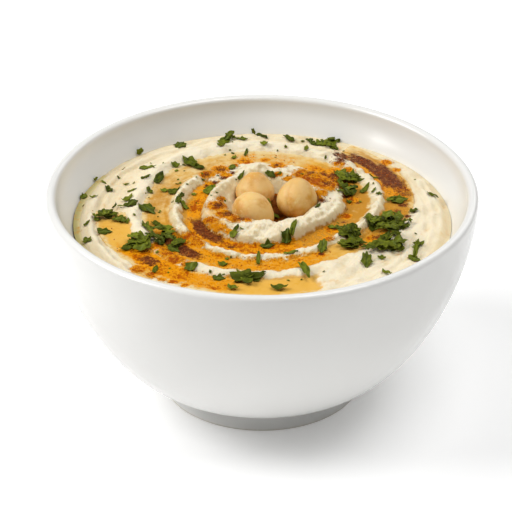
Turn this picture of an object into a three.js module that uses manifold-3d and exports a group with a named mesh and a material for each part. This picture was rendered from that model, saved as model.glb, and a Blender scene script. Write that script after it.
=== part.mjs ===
// A white glazed bowl of hummus. The hummus is swirled with a spoon, its grooves hold
// seasoned oil, three chickpeas sit in the hollow at its middle, and chopped parsley lies
// over it. Millimetres, +Z up, origin at the middle of the foot ring's underside.
import * as THREE from 'three';
import { mergeVertices } from 'three/addons/utils/BufferGeometryUtils.js';
import Module from 'manifold-3d';

const wasm = await Module();
wasm.setup();
const { degToRad, euclideanModulo, lerp, radToDeg, seededRandom, smoothstep } = THREE.MathUtils;

// Bowl
const RIM_RADIUS = 65;
const BOWL_HEIGHT = 66.8;
const LIP_RADIUS = 1.6;
const FOOT_RADIUS = 31;
const FOOT_HEIGHT = 5.5;
const FOOT_TREAD = 5;
const FOOT_SLOPE = 1.5;
const FOOT_TOP_RADIUS = 29.2;
const UNDERSIDE_HEIGHT = 4;
const WAIST_RADIUS = 28.1;
const WAIST_HEIGHT = 6.05;
const BELLY_POWER = 1.6;
const BELLY_ROUNDNESS = 1.85;
const LIP_WALL = 3.2;
const WALL = 7;
const WALL_BLEND_DEPTH = 11;
const HEEL_EXTRA_WALL = 3;
const FLOOR_HEIGHT = 11;
const FLOOR_RADIUS = 24;
const HEEL_LEVEL = 14;
const WALL_STEPS = 8;
const LIP_STEPS = 4;
const CREASE = 0.6;
const BELLY_STEP_POWER = 1.5;
const BOWL_SEGMENTS = 56;

// Hummus: heights above GROOVE_LEVEL, where the bottom of the spoon's groove lies
const GROOVE_LEVEL = 56.8;
const FIT_GAP = 0.3;
const WELD_DISTANCE = 1e-4;
const SURFACE_SEGMENTS = 64;
const SURFACE_RINGS = 24;
const SWIRL_CENTRE = new THREE.Vector2(2, 4.9);
const CRATER = { centre: new THREE.Vector2(2.5, 6.5), depth: 2.2, floorRadius: 8.5, radius: 15.5 };
const CRATER_LEFT_REACH = { bearing: 172, width: 48, extraRadius: 2.2 };
const EDGE = { drop: 0.7, width: 4.5, blend: 0.5 };

// The spoon's groove: radii by turns from its start, angles in degrees counted on past 360
const GROOVE_START = 116;
const GROOVE_END = 1006;
const GROOVE_FIRST_RADIUS = 20.4;
const GROOVE_PITCH = 9.3;
const GROOVE_PITCH_GROWTH = 1.34;
const GROOVE_SWAY = { east: -1.6, north: -0.55, northPerTurn: 1.96 };
// Where the hand strayed from an even spiral: bearing and width in degrees, push outwards
const GROOVE_PUSHES = [
  { bearing: 172, width: 26, push: -1.9 },
  { bearing: 252, width: 30, push: 1.5 },
  { bearing: 316, width: 22, push: -1.9 },
  { bearing: 16, width: 26, push: 0.8 },
];
const GROOVE_FADE_IN = 45;
const GROOVE_FADE_OUT = 9;
const OUTER_SIDE_SHARE = 0.56;
const SHALLOW_STRETCHES = [
  { angle: 838, width: 55, share: 0.6 },
  { angle: 645, width: 32, share: 0.28 },
];
const FLAT_SHARE = 0.32;
const NARROW_STRETCH = { angle: 640, width: 45, share: 0.2 };

// The crests between the grooves, by distance from the swirl's centre
const CREST_HEIGHT = 1.5;
const COLLAR = { height: 2.4, radius: 16, width: 9 };
const SIDE_CREST = { height: 1, radius: 30, width: 6 };
const OUTER_CREST = { height: 0.6, radius: 40, width: 6 };
const PEAK = { height: 1.8, x: -1.8, y: 24, width: 4 };
const LUMPS = { broad: 0.35, fine: 0.2, broadWave: 0.55, crossWave: 0.48, fineWave: 1.1, fineCrossWave: 0.7 };

// The lower stretch of the edge on the left, by bearing
const GUTTER = { from: 140, deepFrom: 165, deepTo: 225, to: 250, extraDrop: 0.9 };

// Oil
const SWIRL_OIL_LEVEL = 0.85;
const CRATER_OIL_LEVEL = -1.1;
const GUTTER_OIL_LEVEL = -0.5;
const OIL_SLAB_DEPTH = 4;
const OIL_WALL_GAP = 0.5;
const OIL_STEP = 7.5;
const INNER_OIL = { from: 124, to: 786, halfWidth: 5.2 };
const OUTER_OIL = { from: 896, to: 1004, halfWidth: 5.6 };
const GUTTER_OIL = { from: 150, to: 240, width: 7 };

// Chickpeas: centre, half sizes and the direction that the beak points to
const CHICKPEAS = [
  { name: 'chickpea_left', centre: [-3, 0.4, 58.8], radii: [6.2, 6.1, 5.8], turn: 325, tip: -15 },
  { name: 'chickpea_right', centre: [10.7, 6, 59.5], radii: [6.2, 5.8, 6.2], turn: 70, tip: 82 },
  { name: 'chickpea_back', centre: [-2.1, 12.9, 58.5], radii: [6, 5.3, 6], turn: 100, tip: 84 },
];
const BEAK = { share: 0.24, sharpness: 6 };
const CLEFT = { depth: 0.05, width: 0.2 };
const CHICKPEA_SEGMENTS = 16;
const CHICKPEA_RINGS = 10;

// Parsley: patches of chopped leaf by middle, spread, count and leaf length
const LEAF_THICKNESS = 0.95;
const LEAF_SINK = 0.6;
const LEAF_OUTLINE_POINTS = 8;
const LEAF_LOBE = 0.5;
const LEAF_NOTCH = 0.34;
const LEAF_WAVE = { height: 0.2, along: 1.1, across: 0.9 };
const LEAF_LENGTHS = [0.7, 1.1];
const LEAF_SLIMNESS = [0.5, 0.85];
const LEAF_WET_LIMIT = 0.3;
const LEAF_TRIES = 12;
const LEAF_CHICKPEA_MARGIN = 1;
const LEAF_EDGE_MARGIN = 2.5;
const LEAF_CARRIED_SHARE = 0.5;
const PARSLEY_SEED = 5;
const PARSLEY_PATCHES = [
  { middle: [37, -10], spread: 4.5, count: 5, length: 6 },
  { middle: [27, -17], spread: 3.5, count: 3, length: 6 },
  { middle: [25, 17], spread: 3, count: 3, length: 5.5 },
  { middle: [-31, -17], spread: 4, count: 3, length: 6 },
  { middle: [-35, 1], spread: 3.5, count: 3, length: 5.5 },
  { middle: [-46, -3], spread: 3.5, count: 3, length: 5 },
  { middle: [-26, 27], spread: 4, count: 3, length: 5 },
  { middle: [-37, 18], spread: 4.5, count: 3, length: 4 },
  { middle: [-49, 15], spread: 4, count: 2, length: 4 },
  { middle: [-14, 47], spread: 4.5, count: 3, length: 5.5 },
  { middle: [17, 46], spread: 4.5, count: 3, length: 6 },
  { middle: [-6, -36], spread: 2.5, count: 3, length: 6 },
  { middle: [10, -16], spread: 3, count: 2, length: 4.5 },
  { middle: [40, -27], spread: 4.5, count: 3, length: 5 },
  { middle: [43, 8], spread: 3, count: 2, length: 5 },
  { middle: [-15, 13], spread: 2.5, count: 2, length: 4.5 },
];

const GLAZE = new THREE.MeshStandardMaterial({ color: 0xe9e8e5, roughness: 0.2, metalness: 0 });
const HUMMUS = new THREE.MeshStandardMaterial({ color: 0xf3e6c8, roughness: 0.55, metalness: 0 });
const OIL = new THREE.MeshStandardMaterial({ color: 0xe09a35, roughness: 0.12, metalness: 0 });
const CHICKPEA = new THREE.MeshStandardMaterial({ color: 0xe0ab62, roughness: 0.5, metalness: 0 });

function bell(value, middle, width) {
  return Math.exp(-(((value - middle) / width) ** 2));
}

function outerRadius(z) {
  const lipLevel = BOWL_HEIGHT - LIP_RADIUS;
  const rise = THREE.MathUtils.clamp((z - WAIST_HEIGHT) / (lipLevel - WAIST_HEIGHT), 0, 1);
  const belly = (1 - (1 - rise) ** BELLY_POWER) ** (1 / BELLY_ROUNDNESS);
  return lerp(WAIST_RADIUS, RIM_RADIUS, belly);
}

function innerRadius(z) {
  const below = BOWL_HEIGHT - LIP_RADIUS - z;
  const deep = Math.max(0, below - WALL_BLEND_DEPTH) / (BOWL_HEIGHT - WALL_BLEND_DEPTH - FLOOR_HEIGHT);
  const wall = lerp(LIP_WALL, WALL, smoothstep(below, 0, WALL_BLEND_DEPTH));
  return outerRadius(z) - wall - HEEL_EXTRA_WALL * deep ** 2;
}

function levelsBetween(low, high, count) {
  return Array.from({ length: count }, (_, index) => lerp(low, high, index / (count - 1)));
}

const INNER_LEVELS = levelsBetween(HEEL_LEVEL, BOWL_HEIGHT - LIP_RADIUS, WALL_STEPS);

function cavityProfile(gap) {
  const profile = [new THREE.Vector2(0, FLOOR_HEIGHT + gap)];
  profile.push(new THREE.Vector2(FLOOR_RADIUS, FLOOR_HEIGHT + gap));
  for (const level of INNER_LEVELS) {
    profile.push(new THREE.Vector2(innerRadius(level) - gap, level + gap));
  }
  return profile;
}

function bowlProfile() {
  const treadInside = FOOT_RADIUS - FOOT_TREAD;
  const profile = [
    new THREE.Vector2(0, UNDERSIDE_HEIGHT),
    new THREE.Vector2(treadInside - FOOT_SLOPE, UNDERSIDE_HEIGHT),
    new THREE.Vector2(treadInside, 0),
    new THREE.Vector2(FOOT_RADIUS - CREASE, 0),
    new THREE.Vector2(FOOT_RADIUS, CREASE),
    new THREE.Vector2(FOOT_TOP_RADIUS, FOOT_HEIGHT),
  ];
  const lipLevel = BOWL_HEIGHT - LIP_RADIUS;
  for (let step = 0; step < WALL_STEPS; step += 1) {
    const z = lerp(WAIST_HEIGHT + CREASE, lipLevel, (step / WALL_STEPS) ** BELLY_STEP_POWER);
    profile.push(new THREE.Vector2(outerRadius(z), z));
  }
  for (let step = 0; step < LIP_STEPS; step += 1) {
    const angle = (Math.PI * step) / LIP_STEPS;
    const radius = RIM_RADIUS - LIP_RADIUS + LIP_RADIUS * Math.cos(angle);
    profile.push(new THREE.Vector2(radius, lipLevel + LIP_RADIUS * Math.sin(angle)));
  }
  return profile.concat(cavityProfile(0).reverse());
}

function standUp(geometry) {
  return geometry.rotateX(Math.PI / 2);
}

function weld(geometry) {
  geometry.deleteAttribute('normal');
  geometry.deleteAttribute('uv');
  const merged = mergeVertices(geometry, WELD_DISTANCE);
  const source = merged.index.array;
  const kept = [];
  for (let i = 0; i < source.length; i += 3) {
    const [a, b, c] = source.slice(i, i + 3);
    if (a !== b && b !== c && a !== c) {
      kept.push(a, b, c);
    }
  }
  merged.setIndex(kept);
  return merged;
}

function toSolid(geometry) {
  const welded = weld(geometry);
  return new wasm.Manifold(new wasm.Mesh({
    numProp: 3,
    vertProperties: new Float32Array(welded.attributes.position.array),
    triVerts: new Uint32Array(welded.index.array),
  }));
}

function toGeometry(solid) {
  const mesh = solid.getMesh();
  const geometry = new THREE.BufferGeometry();
  geometry.setAttribute('position', new THREE.BufferAttribute(mesh.vertProperties, mesh.numProp));
  geometry.setIndex(new THREE.BufferAttribute(mesh.triVerts, 1));
  geometry.computeVertexNormals();
  return geometry;
}

function largestPiece(solid) {
  return solid.decompose().sort((one, other) => other.volume() - one.volume())[0];
}

// The groove winds outwards anticlockwise; its angle keeps counting past 360 degrees.
function grooveRadius(angle) {
  const turns = (angle - GROOVE_START) / 360;
  const bearing = degToRad(angle);
  const north = GROOVE_SWAY.north + GROOVE_SWAY.northPerTurn * turns;
  const sway = north * Math.sin(bearing) + GROOVE_SWAY.east * Math.cos(bearing);
  const pushes = GROOVE_PUSHES.map((stray) => stray.push * bellAt(angle, stray.bearing, stray.width));
  const even = GROOVE_FIRST_RADIUS + GROOVE_PITCH * turns + GROOVE_PITCH_GROWTH * turns ** 2;
  return pushes.reduce((sum, push) => sum + push, even + sway);
}

// A bell by bearing, the same on every turn
function bellAt(angle, bearing, width) {
  return bell(euclideanModulo(angle - bearing + 180, 360) - 180, 0, width);
}

function grooveStrength(angle) {
  const fadeIn = smoothstep(angle, GROOVE_START, GROOVE_START + GROOVE_FADE_IN);
  const fadeOut = 1 - smoothstep(angle, GROOVE_END - GROOVE_FADE_OUT, GROOVE_END);
  const deep = SHALLOW_STRETCHES.map(({ share, angle: middle, width }) => 1 - share * bell(angle, middle, width));
  return deep.reduce((product, part) => product * part, fadeIn * fadeOut);
}

function grooveFlat(angle) {
  return FLAT_SHARE - NARROW_STRETCH.share * bell(angle, NARROW_STRETCH.angle, NARROW_STRETCH.width);
}

function grooveCut(distance, bearing) {
  let cut = 0;
  for (let angle = bearing; angle <= GROOVE_END; angle += 360) {
    if (angle < GROOVE_START) {
      continue;
    }
    const radius = grooveRadius(angle);
    const outside = OUTER_SIDE_SHARE * (grooveRadius(angle + 360) - radius);
    const inside = (1 - OUTER_SIDE_SHARE) * (radius - grooveRadius(angle - 360));
    const reach = distance > radius ? outside : inside;
    const across = Math.abs(distance - radius) / reach;
    const section = 1 - smoothstep(across, grooveFlat(angle), 1);
    cut = Math.max(cut, section * grooveStrength(angle));
  }
  return cut;
}

function swell(crest, distance) {
  return crest.height * bell(distance, crest.radius, crest.width);
}

function lumpHeight(x, y) {
  const broad = LUMPS.broad * Math.sin(LUMPS.broadWave * x + 1.3) * Math.sin(LUMPS.crossWave * y);
  return broad + LUMPS.fine * Math.sin(LUMPS.fineWave * x - LUMPS.fineCrossWave * y);
}

function crestHeight(x, y, distance, bearing) {
  const sideways = Math.cos(degToRad(bearing)) ** 2;
  const sideCrest = sideways * swell(SIDE_CREST, distance);
  const rings = swell(COLLAR, distance) + sideCrest + swell(OUTER_CREST, distance);
  const peak = PEAK.height * bell(Math.hypot(x - PEAK.x, y - PEAK.y), 0, PEAK.width);
  return CREST_HEIGHT + rings + peak + lumpHeight(x, y);
}

function gutterShare(bearing) {
  const entering = smoothstep(bearing, GUTTER.from, GUTTER.deepFrom);
  return entering * (1 - smoothstep(bearing, GUTTER.deepTo, GUTTER.to));
}

function bearingOf(x, y) {
  return euclideanModulo(radToDeg(Math.atan2(y, x)), 360);
}

// Height of the hummus above GROOVE_LEVEL at a place in the bowl
function relief(x, y) {
  const distance = Math.hypot(x - SWIRL_CENTRE.x, y - SWIRL_CENTRE.y);
  const bearing = bearingOf(x - SWIRL_CENTRE.x, y - SWIRL_CENTRE.y);
  const swirled = crestHeight(x, y, distance, bearing) * (1 - grooveCut(distance, bearing));
  const fromCrater = Math.hypot(x - CRATER.centre.x, y - CRATER.centre.y);
  const leftReach = bellAt(bearing, CRATER_LEFT_REACH.bearing, CRATER_LEFT_REACH.width);
  const craterRadius = CRATER.radius + CRATER_LEFT_REACH.extraRadius * leftReach;
  const craterWall = smoothstep(fromCrater, CRATER.floorRadius, craterRadius);
  const hollowed = lerp(-CRATER.depth, swirled, craterWall);
  const gutter = gutterShare(bearingOf(x, y));
  const fromWall = innerRadius(GROOVE_LEVEL) - FIT_GAP - Math.hypot(x, y);
  const atEdge = 1 - smoothstep(fromWall, EDGE.blend, EDGE.width + gutter);
  return lerp(hollowed, -EDGE.drop - GUTTER.extraDrop * gutter, atEdge);
}

function bowlGeometry() {
  return weld(standUp(new THREE.LatheGeometry(bowlProfile(), BOWL_SEGMENTS)));
}

// A lathe of the bowl's hollow whose top rings are moved to the swirled surface
function hummusCore() {
  const lowestEdge = GROOVE_LEVEL - EDGE.drop - GUTTER.extraDrop;
  const profile = cavityProfile(FIT_GAP).filter((point) => point.y < lowestEdge);
  const firstTop = profile.length;
  for (let ring = SURFACE_RINGS; ring >= 0; ring -= 1) {
    profile.push(new THREE.Vector2(ring, GROOVE_LEVEL));
  }
  const geometry = standUp(new THREE.LatheGeometry(profile, SURFACE_SEGMENTS));
  const place = geometry.attributes.position;
  for (let index = 0; index < place.count; index += 1) {
    const pointIndex = index % profile.length;
    if (pointIndex >= firstTop) {
      const share = profile[pointIndex].x / SURFACE_RINGS;
      const angle = (2 * Math.PI * Math.floor(index / profile.length)) / SURFACE_SEGMENTS;
      placeOnSurface(place, index, share, angle);
    }
  }
  return toSolid(geometry);
}

function placeOnSurface(place, index, share, angle) {
  const [east, north] = [Math.sin(angle), -Math.cos(angle)];
  const edgeLevel = GROOVE_LEVEL - EDGE.drop - GUTTER.extraDrop * gutterShare(bearingOf(east, north));
  const radius = share * (innerRadius(edgeLevel) - FIT_GAP);
  const pull = 1 - share ** 2;
  const x = radius * east + pull * SWIRL_CENTRE.x;
  const y = radius * north + pull * SWIRL_CENTRE.y;
  place.setXYZ(index, x, y, GROOVE_LEVEL + relief(x, y));
}

function grooveLine(stretch, offset) {
  const points = [];
  for (let angle = stretch.from; angle <= stretch.to; angle += OIL_STEP) {
    const radius = grooveRadius(angle) + offset;
    const bearing = degToRad(angle);
    const x = SWIRL_CENTRE.x + radius * Math.cos(bearing);
    points.push(new THREE.Vector2(x, SWIRL_CENTRE.y + radius * Math.sin(bearing)));
  }
  return points;
}

function ringLine(stretch, radius) {
  const points = [];
  for (let bearing = stretch.from; bearing <= stretch.to; bearing += OIL_STEP) {
    points.push(new THREE.Vector2(radius, 0).rotateAround(new THREE.Vector2(), degToRad(bearing)));
  }
  return points;
}

// A slab whose flat top is the oil's surface
function oilSlab(shape, level) {
  const geometry = new THREE.ExtrudeGeometry(shape, { depth: OIL_SLAB_DEPTH, bevelEnabled: false });
  return toSolid(geometry.translate(0, 0, GROOVE_LEVEL + level - OIL_SLAB_DEPTH));
}

function grooveSlab(stretch) {
  const outer = grooveLine(stretch, stretch.halfWidth);
  const inner = grooveLine(stretch, -stretch.halfWidth).reverse();
  return oilSlab(new THREE.Shape(outer.concat(inner)), SWIRL_OIL_LEVEL);
}

function craterSlab() {
  const shape = new THREE.Shape();
  shape.absarc(CRATER.centre.x, CRATER.centre.y, CRATER.radius, 0, 2 * Math.PI);
  return oilSlab(shape, CRATER_OIL_LEVEL);
}

function gutterSlab() {
  const wall = innerRadius(GROOVE_LEVEL);
  const outer = ringLine(GUTTER_OIL, wall + 1);
  const inner = ringLine(GUTTER_OIL, wall - GUTTER_OIL.width).reverse();
  const hollow = cavityProfile(OIL_WALL_GAP).concat(new THREE.Vector2(0, BOWL_HEIGHT));
  const cavity = toSolid(standUp(new THREE.LatheGeometry(hollow, SURFACE_SEGMENTS)));
  return oilSlab(new THREE.Shape(outer.concat(inner)), GUTTER_OIL_LEVEL).intersect(cavity);
}

function chickpeaGeometry(radii, grow) {
  const geometry = new THREE.SphereGeometry(1, CHICKPEA_SEGMENTS, CHICKPEA_RINGS);
  const place = geometry.attributes.position;
  const point = new THREE.Vector3();
  for (let index = 0; index < place.count; index += 1) {
    point.fromBufferAttribute(place, index);
    const beak = 1 + BEAK.share * Math.max(0, point.y) ** BEAK.sharpness;
    const cleft = point.z > 0 ? CLEFT.depth * bell(point.x, 0, CLEFT.width) * (1 - point.y ** 2) : 0;
    point.multiplyScalar(beak - cleft);
    place.setXYZ(index, ...point.toArray().map((value, axis) => value * (radii[axis] + grow)));
  }
  return weld(geometry);
}

function placeChickpea(mesh, chickpea) {
  const tip = degToRad(chickpea.tip);
  const turn = degToRad(chickpea.turn);
  const level = Math.cos(tip);
  const beak = new THREE.Vector3(level * Math.cos(turn), level * Math.sin(turn), Math.sin(tip));
  mesh.position.fromArray(chickpea.centre);
  mesh.quaternion.setFromUnitVectors(new THREE.Vector3(0, 1, 0), beak);
  mesh.updateMatrix();
  return mesh;
}

function chickpeaMesh(chickpea) {
  const mesh = new THREE.Mesh(chickpeaGeometry(chickpea.radii, 0), CHICKPEA);
  mesh.name = chickpea.name;
  return placeChickpea(mesh, chickpea);
}

function chickpeaSeat(chickpea) {
  const mesh = new THREE.Mesh(chickpeaGeometry(chickpea.radii, FIT_GAP));
  return toSolid(mesh.geometry.applyMatrix4(placeChickpea(mesh, chickpea).matrix));
}

// Pointed lobes round a leaf whose length lies along x before it is turned
function leafOutline(leaf, grow) {
  const points = [];
  for (let index = 0; index < LEAF_OUTLINE_POINTS; index += 1) {
    const angle = (2 * Math.PI * index) / LEAF_OUTLINE_POINTS;
    const lobe = (index % 2 === 0 ? LEAF_LOBE : LEAF_NOTCH) * leaf.length + grow;
    const point = new THREE.Vector2(lobe * Math.cos(angle), leaf.slimness * lobe * Math.sin(angle));
    points.push(point.rotateAround(new THREE.Vector2(), leaf.turn).add(leaf.place));
  }
  return points;
}

function isOilThere(x, y) {
  const distance = Math.hypot(x - SWIRL_CENTRE.x, y - SWIRL_CENTRE.y);
  const bearing = bearingOf(x - SWIRL_CENTRE.x, y - SWIRL_CENTRE.y);
  const turns = [0, 1, 2].map((turn) => bearing + 360 * turn);
  const isPoured = [INNER_OIL, OUTER_OIL].some(({ from, to, halfWidth }) => (
    turns.some((angle) => (
      angle >= from && angle <= to && Math.abs(distance - grooveRadius(angle)) < halfWidth
    ))
  ));
  return isPoured && relief(x, y) < SWIRL_OIL_LEVEL;
}

function surfaceHeight(x, y) {
  return isOilThere(x, y) ? SWIRL_OIL_LEVEL : relief(x, y);
}

function leafSolid(leaf, grow) {
  const outline = new THREE.Shape(leafOutline(leaf, grow));
  const geometry = new THREE.ExtrudeGeometry(outline, { depth: LEAF_THICKNESS, bevelEnabled: false });
  const place = geometry.attributes.position;
  for (let index = 0; index < place.count; index += 1) {
    const [x, y] = [place.getX(index), place.getY(index)];
    const ripple = Math.sin(LEAF_WAVE.along * x + leaf.turn) * Math.cos(LEAF_WAVE.across * y);
    const grown = place.getZ(index) > 0 ? grow : -grow;
    const base = GROOVE_LEVEL + surfaceHeight(x, y) - LEAF_SINK + LEAF_WAVE.height * ripple + grown;
    place.setZ(index, base + place.getZ(index));
  }
  return toSolid(geometry);
}

function isClear(leaf) {
  const fromWall = innerRadius(GROOVE_LEVEL) - leaf.place.length() - leaf.length / 2;
  const nearest = Math.min(...CHICKPEAS.map(({ centre, radii }) => (
    Math.hypot(leaf.place.x - centre[0], leaf.place.y - centre[1]) - radii[0] - leaf.length / 2
  )));
  return fromWall > LEAF_EDGE_MARGIN && nearest > LEAF_CHICKPEA_MARGIN;
}

function wetShare(leaf) {
  const outline = leafOutline(leaf, 0);
  const wet = outline.filter(({ x, y }) => isOilThere(x, y));
  return wet.length / outline.length;
}

function drawLeaf(patch) {
  const bearing = 2 * Math.PI * seededRandom();
  const reach = patch.spread * Math.sqrt(seededRandom());
  const place = new THREE.Vector2(...patch.middle);
  place.add(new THREE.Vector2(reach, 0).rotateAround(new THREE.Vector2(), bearing));
  const length = patch.length * lerp(...LEAF_LENGTHS, seededRandom());
  const turn = Math.PI * seededRandom();
  return { place, length, turn, slimness: lerp(...LEAF_SLIMNESS, seededRandom()) };
}

// Leaves that would bridge a groove are drawn again, so that none divides the oil.
function drawLeaves() {
  seededRandom(PARSLEY_SEED);
  const leaves = [];
  for (const patch of PARSLEY_PATCHES) {
    let wanted = patch.count;
    for (let attempt = 0; attempt < LEAF_TRIES * patch.count && wanted > 0; attempt += 1) {
      const leaf = drawLeaf(patch);
      leaf.wet = wetShare(leaf);
      if (isClear(leaf) && (leaf.wet < LEAF_WET_LIMIT || leaf.wet === 1)) {
        leaves.push(leaf);
        wanted -= 1;
      }
    }
  }
  return leaves;
}

function joinAll(solids, first) {
  return solids.reduce((whole, solid) => whole.add(solid), first);
}

function cutAll(solids, first) {
  return solids.reduce((rest, solid) => rest.subtract(solid), first);
}

function addMesh(group, name, geometry, material) {
  const mesh = new THREE.Mesh(geometry, material);
  mesh.name = name;
  group.add(mesh);
}

const leaves = drawLeaves();
const dryLeaves = leaves.filter((leaf) => leaf.wet < 1);
const seats = CHICKPEAS.map(chickpeaSeat);
const hummus = cutAll(seats, joinAll(dryLeaves.map((leaf) => leafSolid(leaf, 0)), hummusCore()));
const oilBed = joinAll(
  dryLeaves.map((leaf) => leafSolid(leaf, FIT_GAP)),
  hummus.add(hummus.translate([0, 0, FIT_GAP])),
);
const floatingLeaves = leaves.filter((leaf) => leaf.wet === 1).map((leaf) => leafSolid(leaf, 0));

// What is left of a slab above the hummus, with the leaves that lie on it
function oilBody(slab, cutters) {
  const carried = floatingLeaves.filter((leaf) => (
    leaf.intersect(slab).volume() > LEAF_CARRIED_SHARE * leaf.volume()
  ));
  return largestPiece(cutAll(cutters, joinAll(carried, slab).subtract(oilBed)));
}

const group = new THREE.Group();
group.name = 'hummus_bowl';
addMesh(group, 'bowl', bowlGeometry(), GLAZE);
addMesh(group, 'hummus', toGeometry(hummus), HUMMUS);
addMesh(group, 'oil_swirl', toGeometry(oilBody(grooveSlab(INNER_OIL), [])), OIL);
addMesh(group, 'oil_pool', toGeometry(oilBody(grooveSlab(OUTER_OIL), [])), OIL);
addMesh(group, 'oil_crater', toGeometry(oilBody(craterSlab(), seats)), OIL);
addMesh(group, 'oil_edge', toGeometry(oilBody(gutterSlab(), [])), OIL);
for (const chickpea of CHICKPEAS) {
  group.add(chickpeaMesh(chickpea));
}

export default group;
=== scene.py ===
# %% [markdown]
# # A bowl of hummus
# A plain white bowl holds hummus that a spoon has swirled. Seasoned oil lies in the groove
# that the spoon left, paprika stains the paste around it, three chickpeas sit in the hollow
# in the middle, and chopped parsley is scattered over everything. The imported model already
# has each of these at its true place and size, so this lesson starts from it and makes the
# fine surface of each one.

import math
import random

import bpy
import numpy as np
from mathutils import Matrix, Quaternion, Vector, noise


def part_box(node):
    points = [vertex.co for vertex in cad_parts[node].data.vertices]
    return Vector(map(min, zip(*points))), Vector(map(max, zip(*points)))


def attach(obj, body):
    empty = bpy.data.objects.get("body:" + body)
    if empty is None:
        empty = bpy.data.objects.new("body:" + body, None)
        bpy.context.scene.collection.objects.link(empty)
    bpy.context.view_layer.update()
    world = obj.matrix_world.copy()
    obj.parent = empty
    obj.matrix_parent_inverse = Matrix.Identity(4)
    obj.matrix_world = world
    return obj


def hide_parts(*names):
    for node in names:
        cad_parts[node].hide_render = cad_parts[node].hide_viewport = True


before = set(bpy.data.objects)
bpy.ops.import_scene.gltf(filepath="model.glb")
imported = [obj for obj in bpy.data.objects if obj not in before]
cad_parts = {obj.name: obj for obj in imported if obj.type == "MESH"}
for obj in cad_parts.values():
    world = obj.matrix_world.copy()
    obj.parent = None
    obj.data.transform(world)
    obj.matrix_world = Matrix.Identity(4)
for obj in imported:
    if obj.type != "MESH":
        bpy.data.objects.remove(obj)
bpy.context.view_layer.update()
print("solids:", ", ".join(sorted(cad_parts)))

# %% [markdown]
# ## Sizes
# Lengths here are in millimetres, as a potter or a cook would say them, and `MM` turns them
# into Blender's metres. The rim and the height are read from the frame; the rest are the
# few numbers that the bowl's curve is worked out from.

# %% Bowl sizes
MM = 0.001
RIM_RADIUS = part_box("bowl")[1].x / MM
BOWL_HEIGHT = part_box("bowl")[1].z / MM
LIP_RADIUS = 1.6
LIP_LEVEL = BOWL_HEIGHT - LIP_RADIUS
FOOT_RADIUS = 31.0
FOOT_TOP_RADIUS = 29.2
FOOT_HEIGHT = 5.5
FOOT_TREAD = 5.0
UNDERSIDE_HEIGHT = 4.0
WAIST_RADIUS, WAIST_HEIGHT = 28.1, 6.05
BELLY_POWER, BELLY_ROUNDNESS = 1.6, 1.85
LIP_WALL, WALL, WALL_BLEND_DEPTH = 3.2, 7.0, 11.0
HEEL_EXTRA_WALL, HEEL_LEVEL = 3.0, 14.0
FLOOR_HEIGHT, FLOOR_RADIUS = 11.0, 24.0
FIRST_DISC = 1.0
print(f"rim {2 * RIM_RADIUS:.0f} mm across, {BOWL_HEIGHT:.1f} mm high")

# %% [markdown]
# ## Working by selection
# An operator acts on whatever is selected, so every step first lets go of everything and
# then takes only what it is about to shape. These helpers keep that habit short.

# %% Selection helpers
def let_go():
    if bpy.context.mode != "OBJECT":
        bpy.ops.object.mode_set(mode="OBJECT")
    bpy.ops.object.select_all(action="DESELECT")


def take(*pieces):
    let_go()
    for piece in pieces:
        piece.select_set(True)
    bpy.context.view_layer.objects.active = pieces[-1]


def edit_all(piece):
    take(piece)
    bpy.ops.object.mode_set(mode="EDIT")
    bpy.ops.mesh.select_all(action="SELECT")


def new_piece(name):
    """Name the primitive that was just added and put its place into its mesh."""
    piece = bpy.context.object
    piece.name = name
    bpy.ops.object.transform_apply(location=True, rotation=True, scale=True)
    return piece


def finish_piece(piece, slot, material, *nodes):
    """Give a piece its material and say which solids it stands for."""
    piece.data.materials.clear()
    piece.data.materials.append(material)
    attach(piece, "root")
    if nodes:
        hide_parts(*nodes)
    print(f"{piece.name}: {len(piece.data.polygons)} faces")


# %% [markdown]
# ## Vertices as numbers
# A swirl in paste is a shape that a formula describes better than any tool handle. Blender
# gives and takes all the corners of a mesh as one long array, so a whole surface can be
# moved in one step.

# %% Vertex arrays
def corners(piece):
    flat = np.empty(3 * len(piece.data.vertices), np.float32)
    piece.data.vertices.foreach_get("co", flat)
    return flat.reshape(-1, 3).astype(float) / MM


def move_corners(piece, places):
    piece.data.vertices.foreach_set("co", (places * MM).astype(np.float32).ravel())
    piece.data.update()


def paint(piece, name, values):
    """Store one number for each corner, for a material to read as an Attribute."""
    layer = piece.data.attributes.new(name, "FLOAT", "POINT")
    layer.data.foreach_set("value", np.clip(values, 0, 1).astype(np.float32))


def smoothstep(low, high, value):
    share = np.clip((value - low) / (high - low), 0, 1)
    return share * share * (3 - 2 * share)


def bell(value, middle, width):
    return np.exp(-(((value - middle) / width) ** 2))


def mix(low, high, share):
    return low + (high - low) * share


def cloud(x, y, size, seed=0.0, octaves=3):
    """Smooth noise from about -1 to 1, with features about `size` millimetres wide."""
    points = zip(np.ravel(x) / size, np.ravel(y) / size)
    values = [noise.fractal(Vector((px, py, seed)), 0.6, 2.1, octaves) for px, py in points]
    return np.reshape(values, np.shape(x))


# %% [markdown]
# ## Stacking rings
# A round body can be turned with Spin, or it can be pulled up from a disc: extrude the top
# face a little, scale it about the axis, and repeat up the outline. Pulling rings makes no
# seam and no doubled points, so it suits a bowl and the paste that fills it.

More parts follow.
